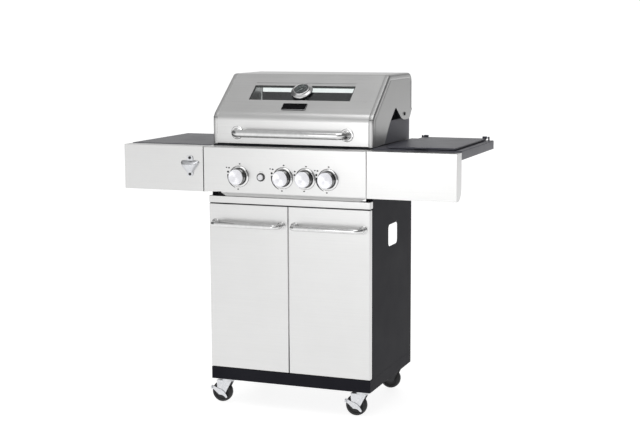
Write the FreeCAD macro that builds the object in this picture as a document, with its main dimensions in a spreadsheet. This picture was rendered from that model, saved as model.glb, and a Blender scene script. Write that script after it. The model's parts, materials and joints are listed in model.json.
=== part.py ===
import FreeCAD, Part
import os
from types import SimpleNamespace
import Sketcher

# Gas barbecue grill on a cabinet cart. Millimetres, +Z up. The cook stands at -Y, and +X is to the cook's
# right. The origin is on the floor under the middle of the grill's outer box.

DRIVING_SIZES = {
    # cabinet
    "cabinet_half": 300, "cabinet_back": 268, "base_front": -200, "base_bottom": 94, "base_top": 137,
    "base_rim": 20, "sheet": 1.5, "side_front": -173, "side_flange": 25, "cabinet_top": 774,
    "hold_front": -3, "hold_back": 99, "hold_low": 574, "hold_high": 651, "hold_round": 15,
    "rear_rail_low": 730, "rear_rail_high": 760, "rear_rail_front": 250,
    # doors
    "door_front": -201, "door_depth": 20, "door_low": 139, "door_high": 728, "door_gap": 1.5,
    "door_pin_x": 292, "door_pin_y": -187, "door_pin_radius": 3, "pin_play": 0.05, "bush_half": 7,
    "bush_height": 12, "door_pin_length": 13, "rail_low": 731, "rail_high": 756,
    "door_post_inner": 25, "door_post_outer": 275, "door_bar_y": -241, "door_bar_z": 660,
    "door_bar_radius": 9, "door_bar_bend": 20, "door_rosette": 15, "rosette_depth": 3,
    "catch_inner": 15, "catch_outer": 45, "catch_low": 702, "catch_gap": 0.3,
    # fire box and rear housing
    "fire_half": 292, "fire_front": -152, "fire_back": 262, "fire_floor": 798, "fire_top": 937,
    "ledge": 14, "grate_ledge": 905.5, "tamer_ledge": 860.5, "grate_height": 12, "grate_bar": 8,
    "grate_pitch": 22, "tamer_half": 58, "tamer_rise": 30, "tamer_edge": 3, "housing_top": 1015,
    "housing_wall_top": 1097, "housing_front": -100, "ear_half": 20, "ear_foot_half": 26,
    "ear_top": 1048, "rack_z": 985, "rack_front": -30, "rack_pitch": 20, "rack_wire": 3,
    "rack_end_wire": 3.5, "rack_end_inset": 10, "rack_end_front": -35, "rack_depth": 150,
    "tray_half": 240, "tray_front": -140, "tray_back": 260, "tray_floor": 779, "tray_depth": 14,
    "pull_depth": 3, "runner_inner": 226, "drain_half": 30, "drain_front": 0, "drain_back": 120,
    # gas and burners
    "burner_pitch": 164, "knob_pitch": 82, "valve_z": 832, "burner_radius": 16, "venturi_radius": 11,
    "venturi_front": -178, "burner_front": -110, "manifold_radius": 8, "manifold_y": -195,
    "manifold_z": 806, "manifold_right": 200, "elbow_half": 9, "inlet_x": -222, "inlet_y": -162.5,
    "inlet_radius": 7, "inlet_bottom": 752, "valve_half": 11, "valve_front": -230,
    "valve_back": -186, "valve_high": 846, "spud_length": 8, "pipe_radius": 6, "pipe_play": 0.5,
    "pipe_y": -166, "pipe_z": 790, "stem_radius": 4, "stem_front": -262, "stem_back": -216,
    "stem_room": 1, "electrode_radius": 3, "electrode_shift": 34, "electrode_z": 838,
    "electrode_end": -112,
    # control panel, knobs and igniter
    "panel_front": -243, "panel_top": 932, "return_back": -203, "return_low": 757,
    "return_left": -233, "return_right": 262, "knob_front": -275, "knob_back": -248.5,
    "knob_bore_front": -268, "skirt_radius": 27.5, "skirt_depth": 4, "waist_radius": 25,
    "waist_low": 8, "waist_high": 20, "cap_radius": 27, "cap_low": 24, "bezel_radius": 36.5,
    "bezel_bore": 31, "bezel_depth": 5, "bezel_chamfer": 2.5, "stem_hole": 6, "button_radius": 10,
    "button_front": -252, "button_back": -224, "barrel_radius": 12, "barrel_back": -212,
    "barrel_floor": 4, "collar_radius": 14.5, "collar_depth": 3,
    # lid
    "lid_half": 298.5, "lid_front": -164, "lid_back": 275, "lid_bottom": 937, "bend_z": 1036.5,
    "slope_angle": 37.8, "slope_length": 228, "lid_wall_low": 1117, "lid_side": 2.5,
    "front_bend": 20, "top_bend": 25, "rear_bend": 35, "pivot_y": 183, "pivot_z": 1031,
    "pivot_radius": 4, "pivot_head": 6, "pivot_head_depth": 4, "notch_front_y": -43,
    "notch_front_z": 941, "notch_low_y": 12, "notch_low_z": 1007, "notch_peak_y": 81,
    "notch_peak_z": 1061, "lobe_front_y": 147, "lobe_front_z": 1018, "lobe_low_y": 181,
    "lobe_low_z": 1011, "lobe_back_y": 240, "notch_back_z": 1046, "notch_round": 25,
    "peak_round": 20, "lobe_round": 15,
    "window_half": 190, "window_low": 82, "window_high": 178.5, "glass_lap": 10, "glass": 4,
    "dial_radius": 39, "dial_foot_radius": 34, "dial_foot": 3, "dial_edge": 7, "dial_height": 16,
    "dial_lip_radius": 27, "lens_radius": 25, "lens_height": 14.5,
    "dial_along": 130, "neck_radius": 7.6, "neck_end": -13.5, "probe_radius": 3, "probe_depth": 62,
    "probe_hole": 8,
    "badge_left": -51, "badge_right": 41, "badge_low": 33, "badge_high": 69, "badge_depth": 2.5,
    "lid_post": 204, "lid_bar_y": -205, "lid_bar_z": 977, "lid_bar_radius": 13, "lid_bar_bend": 24,
    "lid_rosette": 23,
    # side shelves and side burner
    "shelf_inner": 301.5, "shelf_outer": 611, "shelf_front_depth": 58, "shelf_fold": 15,
    "shelf_back": 256, "shelf_low": 907, "shelf_top": 937, "shelf_round": 40, "bracket_front": -120,
    "bracket_back": 180, "bracket_width": 30, "bracket_low": 910, "bracket_high": 927,
    "pan_left": 372, "pan_right": 572, "pan_front": -110, "pan_back": 190, "pan_floor": 900,
    "pan_rim_low": 932, "side_burner_radius": 42, "side_burner_foot": 20, "side_burner_low": 907.5,
    "side_burner_bevel": 3, "side_burner_crown": 6, "side_burner_top": 920,
    "trivet_half": 90, "trivet_low": 922, "trivet_high": 932, "trivet_bar": 6,
    "cover_left": 355, "cover_right": 588, "cover_front": -183, "cover_back": 238,
    "cover_low": 939, "cover_high": 945, "cover_pin_y": 246, "cover_pin_z": 947,
    "knuckle_radius": 6, "knuckle_length": 16, "knuckle_gap": 5, "cover_pin_radius": 3,
    "hinge_arm_width": 12, "hinge_arm_half": 6, "hinge_arm_top": 952, "cover_arm_front": 234,
    "cover_arm_depth": 3, "lip_left": 448, "lip_right": 496, "lip_reach": 7,
    # bottle opener
    "opener_x": -351, "opener_half": 36, "opener_low": 839, "opener_high": 881,
    "opener_foot_half": 24, "opener_waist_z": 864, "opener_top_half": 30, "opener_round": 8,
    "opener_base_half": 12, "opener_base_low": 826, "opener_base_high": 900, "opener_reach": 22,
    "opener_wall": 4, "screw_low": 834, "screw_high": 891.5, "screw_radius": 4.5, "screw_depth": 2.5,
    # casters
    "caster_x": 257, "caster_front": -157, "caster_back": 225, "caster_trail": 21,
    "wheel_radius": 37.5, "wheel_half": 12.5, "wheel_shoulder": 4, "hub_half": 14.2,
    "hub_radius": 10, "axle_radius": 4, "axle_head": 7, "axle_head_depth": 2, "leg_inner": 14.5,
    "leg_outer": 17, "leg_half": 13, "leg_drop": 11, "leg_round": 9, "crown_rear": 17,
    "crown_front": 20, "crown_low": 78, "crown_high": 80.5, "race_radius": 23, "race_top": 91.2,
    "plate_half": 31, "plate_low": 91.5, "kingpin_radius": 5, "kingpin_low": 74, "kingpin_head": 8,
    "kingpin_head_top": 77, "lever_outer": 19.6, "lever_inner": 17.3, "lever_half": 33,
    "lever_waist": 8, "lever_knee": 14, "lever_edge": 10, "lever_side": 12, "lever_tip_low": 6,
    "lever_tip_high": 5, "lever_tail": 22, "tab_outer": 4, "tab_inner": 3, "tab_reach": 8,
}


class Size:
    """A length that carries its number and the sheet formula that gives it."""

    def __init__(self, value, formula=None):
        self.value = float(value)
        self.formula = formula or repr(float(value))

    def joined(self, other, sign, value):
        return Size(value, f"({self.formula} {sign} {as_size(other).formula})")

    def __add__(self, other):
        return self.joined(other, "+", self.value + as_size(other).value)

    def __sub__(self, other):
        return self.joined(other, "-", self.value - as_size(other).value)

    def __mul__(self, other):
        return self.joined(other, "*", self.value * as_size(other).value)

    def __truediv__(self, other):
        return self.joined(other, "/", self.value / as_size(other).value)

    def __neg__(self):
        return Size(-self.value, f"(-1 * {self.formula})")

    def __radd__(self, other):
        return as_size(other) + self

    def __rsub__(self, other):
        return as_size(other) - self

    def __rmul__(self, other):
        return as_size(other) * self


def as_size(number):
    return number if isinstance(number, Size) else Size(number)


def make_sheet():
    """Writes the driving sizes to the spreadsheet and gives each as a Size."""
    sheet = doc.addObject("Spreadsheet::Sheet", "Sizes")
    for row, (alias, value) in enumerate(DRIVING_SIZES.items(), 1):
        sheet.set(f"A{row}", alias)
        sheet.set(f"B{row}", str(value))
        sheet.setAlias(f"B{row}", alias)
    doc.recompute()
    return SimpleNamespace(**{alias: Size(sheet.get(alias), f"Sizes.{alias}") for alias in DRIVING_SIZES})


doc = FreeCAD.newDocument("gas_grill")
s = make_sheet()
VECTOR = FreeCAD.Vector
X_AXIS, Y_AXIS, Z_AXIS = VECTOR(1, 0, 0), VECTOR(0, 1, 0), VECTOR(0, 0, 1)
# turns local +Z onto the named direction
TURNS = {
    "z": FreeCAD.Rotation(),
    "x": FreeCAD.Rotation(Y_AXIS, 90),
    "y": FreeCAD.Rotation(X_AXIS, -90),
    "-y": FreeCAD.Rotation(X_AXIS, 90),
}
SIDES = {"left": -1, "right": 1}
MARGIN = 2  # how far a cutting tool runs past what it cuts
RACK_WIRES = 8
subparts = []


def bind(item, prop, size):
    item.setExpression(prop, as_size(size).formula)


def place(item, x, y, z, turn=None):
    if turn is not None:
        item.Placement = FreeCAD.Placement(VECTOR(), turn)
    for axis, size in zip("xyz", (x, y, z)):
        bind(item, f"Placement.Base.{axis}", size)
    return item


def block(x_span, y_span, z_span):
    """A box between two corners."""
    box = doc.addObject("Part::Box", "block")
    for prop, (low, high) in zip(("Length", "Width", "Height"), (x_span, y_span, z_span)):
        bind(box, prop, as_size(high) - low)
    return place(box, x_span[0], y_span[0], z_span[0])


def rod(along, x, y, z, radius, length):
    """A round bar that starts at a point and runs along +X, +Y or +Z."""
    bar = doc.addObject("Part::Cylinder", "rod")
    bind(bar, "Radius", radius)
    bind(bar, "Height", length)
    return place(bar, x, y, z, TURNS[along])


def fuse(*items):
    joined = doc.addObject("Part::MultiFuse", "joined")
    joined.Shapes = list(items)
    joined.Refine = True
    return joined


def cut(base, *tools):
    result = doc.addObject("Part::Cut", "cut")
    result.Base = base
    result.Tool = tools[0] if len(tools) == 1 else fuse(*tools)
    return result


def group(*items):
    bundle = doc.addObject("Part::Compound", "bundle")
    bundle.Links = list(items)
    return bundle


def subpart(label, item):
    item.Label = label
    subparts.append(item)


def span(side, inner, outer):
    """The X span of a feature that lies between two distances from the middle, on the left or right."""
    return (as_size(inner), as_size(outer)) if side > 0 else (-as_size(outer), -as_size(inner))


def shell(x_span, y_span, z_span, open_faces):
    """A sheet-metal box with walls one sheet thick. open_faces lists those left out, such as '+z'."""
    inner = []
    for axis, (low, high) in zip("xyz", (x_span, y_span, z_span)):
        inner_low = low - MARGIN if "-" + axis in open_faces else low + s.sheet
        inner_high = high + MARGIN if "+" + axis in open_faces else high - s.sheet
        inner.append((inner_low, inner_high))
    return cut(block(x_span, y_span, z_span), block(*inner))


def outline(body, plane, points, offset):
    """A closed sketch of straight edges, each corner held by two sheet formulas."""
    sketch = body.newObject("Sketcher::SketchObject", "outline")
    support = [part for part in body.Origin.OriginFeatures if part.Role == plane][0]
    sketch.AttachmentSupport = [(support, "")]
    sketch.MapMode = "FlatFace"
    bind(sketch, "AttachmentOffset.Base.z", offset)
    corners = [(as_size(across), as_size(up)) for across, up in points]
    places = [VECTOR(across.value, up.value, 0) for across, up in corners]
    for start, end in zip(places, places[1:] + places[:1]):
        sketch.addGeometry(Part.LineSegment(start, end), False)
    for number in range(len(corners)):
        following = (number + 1) % len(corners)
        sketch.addConstraint(Sketcher.Constraint("Coincident", number, 2, following, 1))
    for number, corner in enumerate(corners):
        for kind, size in zip(("DistanceX", "DistanceY"), corner):
            held = sketch.addConstraint(Sketcher.Constraint(kind, -1, 1, number, 1, size.value))
            bind(sketch, f"Constraints[{held}]", size)
    return sketch


def corner_edge(shape, plane, point):
    """The name of the straight edge that stands on one corner of the outline."""
    axes = {"XY_Plane": "xy", "XZ_Plane": "xz", "YZ_Plane": "yz"}[plane]
    for number, edge in enumerate(shape.Edges, 1):
        ends = [[getattr(vertex.Point, axis) for axis in axes] for vertex in edge.Vertexes]
        if len(ends) == 2 and all(
            abs(end[0] - point[0].value) < 0.01 and abs(end[1] - point[1].value) < 0.01 for end in ends
        ):
            return f"Edge{number}"
    raise ValueError("no edge stands on that corner")


def plate(plane, points, low, high, rounds=()):
    """A body padded between two distances from an outline. rounds lists (corner number, radius)."""
    body = doc.addObject("PartDesign::Body", "plate")
    low, high = as_size(low), as_size(high)
    offset = -high if plane == "XZ_Plane" else low
    pad = body.newObject("PartDesign::Pad", "pad")
    pad.Profile = outline(body, plane, points, offset)
    bind(pad, "Length", high - low)
    body.Tip = pad
    feature = pad
    for number, radius in rounds:
        doc.recompute()
        corner = [as_size(size) for size in points[number]]
        edge = corner_edge(feature.Shape, plane, corner)
        fillet = body.newObject("PartDesign::Fillet", "corner")
        fillet.Base = (feature, [edge])
        bind(fillet, "Radius", radius)
        body.Tip = fillet
        feature = fillet
    return body


def turned(points):
    """A body turned about its own Z axis from an outline of (radius, height) corners."""
    body = doc.addObject("PartDesign::Body", "turned")
    sketch = outline(body, "XZ_Plane", points, 0)
    turn = body.newObject("PartDesign::Revolution", "turn")
    turn.Profile = sketch
    turn.ReferenceAxis = (sketch, ["V_Axis"])
    turn.Angle = 360
    body.Tip = turn
    return body


TURN_SLOPE = FreeCAD.Rotation(X_AXIS, s.slope_angle.value)
slope_cosine = Size(TURN_SLOPE.multVec(Y_AXIS).y, f"cos({s.slope_angle.formula})")
slope_sine = Size(TURN_SLOPE.multVec(Y_AXIS).z, f"sin({s.slope_angle.formula})")


def on_slope(item, x, along, proud):
    """Lays an item, whose own Z is its thickness, on the lid's slanted face."""
    along, proud = as_size(along), as_size(proud)
    y = s.lid_front + along * slope_cosine - proud * slope_sine
    z = s.bend_z + along * slope_sine + proud * slope_cosine
    return place(item, x, y, z, TURN_SLOPE)


def slope_box(x_span, along_span, proud_span):
    """A box laid on the slanted face: across, up the slope, and out of the face."""
    box = doc.addObject("Part::Box", "slope_box")
    for prop, (low, high) in zip(("Length", "Width", "Height"), (x_span, along_span, proud_span)):
        bind(box, prop, as_size(high) - low)
    return on_slope(box, x_span[0], along_span[0], proud_span[0])


# cabinet

def base_tray():
    outer_x = (-s.cabinet_half, s.cabinet_half)
    outer_y = (s.base_front, s.cabinet_back)
    tray = shell(outer_x, outer_y, (s.base_bottom, s.base_top), [])
    mouth = block(
        (-s.cabinet_half + s.base_rim, s.cabinet_half - s.base_rim),
        (s.base_front + s.base_rim, s.cabinet_back - s.base_rim),
        (s.base_top - s.sheet - MARGIN, s.base_top + MARGIN),
    )
    return cut(tray, mouth)


def side_panel(side):
    inner_edge = s.cabinet_half - s.side_flange
    open_face = ["-x"] if side > 0 else ["+x"]
    x_span = span(side, inner_edge, s.cabinet_half)
    panel = shell(x_span, (s.side_front, s.cabinet_back), (s.base_top, s.cabinet_top), open_face)
    corners = [
        (s.hold_front, s.hold_low), (s.hold_back, s.hold_low),
        (s.hold_back, s.hold_high), (s.hold_front, s.hold_high),
    ]
    rounds = [(number, s.hold_round) for number in range(4)]
    hold = plate("YZ_Plane", corners, x_span[0] - MARGIN, x_span[1] + MARGIN, rounds)
    return cut(panel, hold)


def front_rail():
    x_span = (-s.cabinet_half, s.cabinet_half)
    return shell(x_span, (s.door_front, s.side_front), (s.rail_low, s.rail_high), ["+y"])


def rear_rail():
    half = s.cabinet_half - s.sheet
    y_span = (s.rear_rail_front, s.cabinet_back - s.sheet)
    return shell((-half, half), y_span, (s.rear_rail_low, s.rear_rail_high), ["-y"])


def door(side):
    x_span = span(side, s.door_gap, s.cabinet_half)
    y_span = (s.door_front, s.door_front + s.door_depth)
    pan = shell(x_span, y_span, (s.door_low, s.door_high), ["+y"])
    bush_x = span(side, s.door_pin_x - s.bush_half, s.door_pin_x + s.bush_half)
    bush_y = (s.door_pin_y - s.bush_half, s.door_pin_y + s.door_pin_radius * 2)
    low = s.door_low
    high = s.door_high
    bushes = [
        block(bush_x, bush_y, (low, low + s.bush_height)),
        block(bush_x, bush_y, (high - s.bush_height, high)),
    ]
    height = s.door_high - s.door_low + 2 * MARGIN
    bore_radius = s.door_pin_radius + s.pin_play
    bore = rod("z", side * s.door_pin_x, s.door_pin_y, low - MARGIN, bore_radius, height)
    return cut(fuse(pan, *bushes), bore)


def bent_handle(x_span, wall_y, bar_y, z, radius, bend, rosette):
    """A bar parallel to a wall, bent back to it at both ends, with a round rosette at each foot."""
    left, right = x_span
    straight = rod("x", left + bend, bar_y, z, radius, right - left - 2 * bend)
    pieces = [straight]
    for centre_x, post_x, start_angle in ((left + bend, left, 180), (right - bend, right, 270)):
        elbow = doc.addObject("Part::Torus", "elbow")
        bind(elbow, "Radius1", bend)
        bind(elbow, "Radius2", radius)
        elbow.Angle3 = 90
        place(elbow, centre_x, bar_y + bend, z, FreeCAD.Rotation(Z_AXIS, start_angle))
        post = rod("y", post_x, bar_y + bend, z, radius, wall_y - bar_y - bend)
        foot = rod("y", post_x, wall_y - s.rosette_depth, z, rosette, s.rosette_depth)
        pieces += [elbow, post, foot]
    return fuse(*pieces)


def door_handle(side):
    x_span = span(side, s.door_post_inner, s.door_post_outer)
    return bent_handle(
        x_span, s.door_front, s.door_bar_y, s.door_bar_z, s.door_bar_radius, s.door_bar_bend, s.door_rosette
    )


def hinge_pins():
    """Door pins that stand on the base tray and hang from the rail, and two for the burner cover."""
    pins = []
    for side in SIDES.values():
        for foot in (s.base_top, s.rail_low - s.door_pin_length):
            pins.append(
                rod("z", side * s.door_pin_x, s.door_pin_y, foot, s.door_pin_radius, s.door_pin_length)
            )
    for left, right in cover_pin_spans():
        pins.append(rod("x", left, s.cover_pin_y, s.cover_pin_z, s.cover_pin_radius, right - left))
    return group(*pins)


def cover_pin_spans():
    """From each hinge bracket's inner face to the far end of the knuckle beside it."""
    left = (s.cover_left - s.knuckle_gap, s.cover_left + s.knuckle_length)
    right = (s.cover_right - s.knuckle_length, s.cover_right + s.knuckle_gap)
    return left, right


def door_catches():
    catches = []
    for side in SIDES.values():
        y_span = (s.door_front + s.door_depth + s.catch_gap, s.side_front)
        catches.append(block(span(side, s.catch_inner, s.catch_outer), y_span, (s.catch_low, s.rail_low)))
    return group(*catches)


# fire box

def ring_ledge(top_z, sides):
    """A shelf of sheet inside the fire box, all round or only at the front and rear."""
    half = s.fire_half - s.sheet
    y_span = (s.fire_front + s.sheet, s.fire_back - s.sheet)
    ledge = block((-half, half), y_span, (top_z, top_z + s.sheet))
    opening_half = half - s.ledge if sides else half + MARGIN
    opening_y = (y_span[0] + s.ledge, y_span[1] - s.ledge)
    return cut(ledge, block((-opening_half, opening_half), opening_y, (top_z - MARGIN, top_z + 2 * MARGIN)))


def firebox():
    x_span = (-s.fire_half, s.fire_half)
    y_span = (s.fire_front, s.fire_back)
    box = shell(x_span, y_span, (s.fire_floor, s.fire_top), ["+z"])
    pieces = [box, ring_ledge(s.grate_ledge, True), ring_ledge(s.tamer_ledge, False)]
    for side in SIDES.values():
        wall_x = span(side, s.fire_half - s.sheet, s.fire_half)
        pieces.append(block(wall_x, y_span, (s.cabinet_top, s.fire_floor)))
        foot_x = span(side, s.cabinet_half - s.side_flange, s.fire_half)
        pieces.append(block(foot_x, y_span, (s.cabinet_top, s.cabinet_top + s.sheet)))
        runner_x = span(side, s.runner_inner, s.fire_half)
        runner_z = (s.tray_floor - s.catch_gap - s.sheet, s.tray_floor - s.catch_gap)
        pieces.append(block(runner_x, y_span, runner_z))
    drain_z = (s.fire_floor - MARGIN, s.fire_floor + s.sheet + MARGIN)
    holes = [block((-s.drain_half, s.drain_half), (s.drain_front, s.drain_back), drain_z)]
    for x in (-s.burner_pitch, 0, s.burner_pitch):
        radius = s.venturi_radius + s.pipe_play
        holes.append(rod("y", x, s.fire_front - MARGIN, s.valve_z, radius, s.sheet + 2 * MARGIN))
    return cut(fuse(*pieces), *holes)


def rear_housing():
    """Two cheeks with ears for the lid's pivot, and the wall behind the fire."""
    ear, ear_foot = s.ear_half, s.ear_foot_half
    top = s.housing_top
    corners = [
        (s.housing_front, s.fire_top), (s.rack_front - ear, top), (s.pivot_y - ear_foot, top),
        (s.pivot_y - ear, s.ear_top), (s.pivot_y + ear, s.ear_top), (s.pivot_y + ear_foot, top),
        (s.fire_back, top), (s.fire_back, s.fire_top),
    ]
    pieces = []
    for side in SIDES.values():
        pieces.append(plate("YZ_Plane", corners, *span(side, s.fire_half - s.sheet, s.fire_half)))
    wall_x = (-s.fire_half, s.fire_half)
    wall_y = (s.fire_back - s.sheet, s.fire_back)
    pieces.append(block(wall_x, wall_y, (s.fire_top, s.housing_wall_top)))
    return fuse(*pieces)


def main_burners():
    burners = []
    for x in (-s.burner_pitch, 0, s.burner_pitch):
        neck = s.burner_front - s.venturi_front
        venturi = rod("y", x, s.venturi_front, s.valve_z, s.venturi_radius, neck)
        length = s.fire_back - s.sheet - s.burner_front
        burners.append(fuse(venturi, rod("y", x, s.burner_front, s.valve_z, s.burner_radius, length)))
    return group(*burners)


def flame_tamers():
    """A folded roof of sheet over each burner."""
    foot = s.tamer_ledge + s.sheet
    half = s.tamer_half
    ridge = foot + s.tamer_rise
    tamers = []
    for x in (-s.burner_pitch, as_size(0), s.burner_pitch):
        roof = [
            (x - half, foot), (x, ridge), (x + half, foot),
            (x + half - s.tamer_edge, foot), (x, ridge - s.sheet), (x - half + s.tamer_edge, foot),
        ]
        tamers.append(plate("XZ_Plane", roof, s.fire_front + 2 * s.sheet, s.fire_back - 2 * s.sheet))
    return group(*tamers)


def cooking_grates():
    """Two cast grates side by side, each a frame with bars from front to back."""
    grates = []
    foot = s.grate_ledge + s.sheet
    z_span = (foot, foot + s.grate_height)
    half = s.fire_half - 3 * s.sheet
    y_span = (s.fire_front + 3 * s.sheet, s.fire_back - 3 * s.sheet)
    for side in SIDES.values():
        left, right = span(side, 1, half)
        bars = [
            block((left, right), (y_span[0], y_span[0] + s.grate_bar), z_span),
            block((left, right), (y_span[1] - s.grate_bar, y_span[1]), z_span),
        ]
        count = int((right - left - s.grate_bar).value // s.grate_pitch.value)
        pitch = (right - left - s.grate_bar) / count
        for number in range(count + 1):
            x = left + number * pitch
            bars.append(block((x, x + s.grate_bar), y_span, z_span))
        grates.append(fuse(*bars))
    return group(*grates)


def warming_rack():
    half = s.fire_half - s.sheet
    wires = []
    for number in range(RACK_WIRES):
        y = s.rack_front + number * s.rack_pitch
        wires.append(rod("x", -half, y, s.rack_z, s.rack_wire, 2 * half))
    for x in (-half + s.rack_end_inset, 0, half - s.rack_end_inset):
        wires.append(rod("y", x, s.rack_end_front, s.rack_z, s.rack_end_wire, s.rack_depth))
    return fuse(*wires)


def grease_tray():
    z_span = (s.tray_floor, s.tray_floor + s.tray_depth)
    pan = shell((-s.tray_half, s.tray_half), (s.tray_front, s.tray_back), z_span, ["+z"])
    pull_z = (s.tray_floor, s.tray_floor + s.pull_depth)
    pull = block((-s.drain_half, s.drain_half), (s.tray_back, s.cabinet_back), pull_z)
    return fuse(pan, pull)


# gas train

def valve_places():
    """Where the four valves stand: three main burners, and the side burner's between two of them."""
    return [-s.burner_pitch, as_size(0), s.knob_pitch, s.burner_pitch]


def gas_manifold():
    """The manifold, the inlet that hangs behind its left end, and the pipe to the side burner."""
    run = s.manifold_right - s.inlet_x
    pieces = [
        rod("x", s.inlet_x, s.manifold_y, s.manifold_z, s.manifold_radius, run),
        rod("y", s.inlet_x, s.manifold_y, s.manifold_z, s.manifold_radius, s.inlet_y - s.manifold_y),
        rod("z", s.inlet_x, s.inlet_y, s.inlet_bottom, s.inlet_radius, s.manifold_z - s.inlet_bottom),
    ]
    for y in (s.manifold_y, s.inlet_y):
        centre = (s.inlet_x, y, s.manifold_z)
        pieces.append(block(*((middle - s.elbow_half, middle + s.elbow_half) for middle in centre)))
    pan_x, pan_y = pan_middle()
    start_y = s.valve_back + s.spud_length
    joints = [
        (s.knob_pitch, start_y, s.valve_z), (s.knob_pitch, s.pipe_y, s.valve_z),
        (s.knob_pitch, s.pipe_y, s.pipe_z), (pan_x, s.pipe_y, s.pipe_z),
        (pan_x, pan_y, s.pipe_z), (pan_x, pan_y, s.pan_floor + s.sheet),
    ]
    pipe = []
    for (x, y, z), (next_x, next_y, next_z) in zip(joints, joints[1:]):
        lengths = {"x": next_x - x, "y": next_y - y, "z": next_z - z}
        along = max(lengths, key=lambda axis: abs(lengths[axis].value))
        if lengths[along].value < 0:
            x, y, z = next_x, next_y, next_z
        length = lengths[along] if lengths[along].value > 0 else -lengths[along]
        pipe.append(rod(along, x, y, z, s.pipe_radius, length))
    for x, y, z in joints[1:-1]:
        ball = doc.addObject("Part::Sphere", "pipe_bend")
        bind(ball, "Radius", s.pipe_radius)
        pipe.append(place(ball, x, y, z))
    return group(fuse(*pieces), fuse(*pipe))


def gas_valves():
    valves = []
    for x in valve_places():
        foot = s.manifold_z + s.manifold_radius
        body_x = (x - s.valve_half, x + s.valve_half)
        body = block(body_x, (s.valve_front, s.valve_back), (foot, s.valve_high))
        spud = rod("y", x, s.valve_back, s.valve_z, s.pipe_radius, s.spud_length)
        depth = s.stem_back - s.valve_front + s.stem_room + MARGIN
        bore = rod("y", x, s.valve_front - MARGIN, s.valve_z, s.stem_radius + s.pin_play, depth)
        valves.append(cut(fuse(body, spud), bore))
    return group(*valves)


def valve_stem(x):
    return rod("y", x, s.stem_front, s.valve_z, s.stem_radius, s.stem_back - s.stem_front)


def ignition_module():
    """The barrel behind the button with its collar, and the spark electrodes beside the burners."""
    x = -s.knob_pitch
    outer = fuse(
        rod("y", x, s.panel_front, s.valve_z, s.barrel_radius, s.barrel_back - s.panel_front),
        rod("y", x, s.panel_front - s.collar_depth, s.valve_z, s.collar_radius, s.collar_depth),
    )
    mouth = s.panel_front - s.collar_depth - MARGIN
    depth = s.barrel_back - s.barrel_floor - mouth
    bore = rod("y", x, mouth, s.valve_z, s.button_radius + s.pin_play, depth)
    pieces = [cut(outer, bore)]
    for burner_x in (-s.burner_pitch, 0, s.burner_pitch):
        start = s.fire_front + s.sheet
        electrode_x = burner_x + s.electrode_shift
        length = s.electrode_end - start
        pieces.append(rod("y", electrode_x, start, s.electrode_z, s.electrode_radius, length))
    return group(*pieces)


def igniter_button():
    length = s.button_back - s.button_front
    return rod("y", -s.knob_pitch, s.button_front, s.valve_z, s.button_radius, length)


# control panel

def control_panel():
    half = s.cabinet_half
    front = s.panel_front
    sheet = s.sheet
    pieces = [
        block((-half, half), (front, front + sheet), (s.cabinet_top, s.panel_top)),
        block((-half, half), (front, s.fire_front), (s.panel_top - sheet, s.panel_top)),
    ]
    for side in SIDES.values():
        end_x = span(side, half - sheet, half)
        pieces.append(block(end_x, (front, s.return_back), (s.cabinet_top, s.panel_top)))
    slope = [
        (front, s.cabinet_top), (s.return_back, s.return_low),
        (s.return_back, s.return_low + sheet), (front + sheet, s.cabinet_top + sheet),
    ]
    bottom = plate("YZ_Plane", slope, s.return_left, half)
    corner = [(half, front), (half + MARGIN, front), (half + MARGIN, s.return_back + MARGIN),
              (s.return_right, s.return_back + MARGIN)]
    bottom = cut(bottom, plate("XY_Plane", corner, s.return_low - MARGIN, s.cabinet_top - sheet))
    holes = [rod("y", x, front - MARGIN, s.valve_z, s.stem_hole, 3 * MARGIN) for x in valve_places()]
    barrel_hole = s.barrel_radius + s.catch_gap
    holes.append(rod("y", -s.knob_pitch, front - MARGIN, s.valve_z, barrel_hole, 3 * MARGIN))
    return cut(fuse(*pieces, bottom), *holes)


def knob(x):
    """A round knob with a skirt, a waist and a flat cap. Local Z runs out of the panel."""
    height = s.knob_back - s.knob_front
    cap = turned([
        (0, 0), (s.skirt_radius, 0), (s.skirt_radius, s.skirt_depth), (s.waist_radius, s.waist_low),
        (s.waist_radius, s.waist_high), (s.cap_radius, s.cap_low), (s.cap_radius, height), (0, height),
    ])
    place(cap, x, s.knob_back, s.valve_z, TURNS["-y"])
    length = s.knob_back - s.knob_bore_front + MARGIN
    return cut(cap, rod("y", x, s.knob_bore_front, s.valve_z, s.stem_radius + s.pin_play, length))


def knob_bezels():
    rings = []
    for x in valve_places():
        ring = turned([
            (s.bezel_bore, 0), (s.bezel_radius, 0), (s.bezel_radius, s.bezel_depth - s.bezel_chamfer),
            (s.bezel_radius - s.bezel_chamfer, s.bezel_depth), (s.bezel_bore, s.bezel_depth),
        ])
        rings.append(place(ring, x, s.panel_front, s.valve_z, TURNS["-y"]))
    return group(*rings)


# lid

def lid_corners(inset):
    """The lid's front bend, top front and top rear corners, on its outside or set in by a sheet."""
    bend_drop = inset * (1 - slope_sine) / slope_cosine
    top_shift = inset * (1 - slope_cosine) / slope_sine
    top = s.bend_z + s.slope_length * slope_sine
    top_front = s.lid_front + s.slope_length * slope_cosine
    return [
        (s.lid_front + inset, s.bend_z - bend_drop), (top_front + top_shift, top - inset),
        (s.lid_back - inset, top - inset),
    ]


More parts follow.
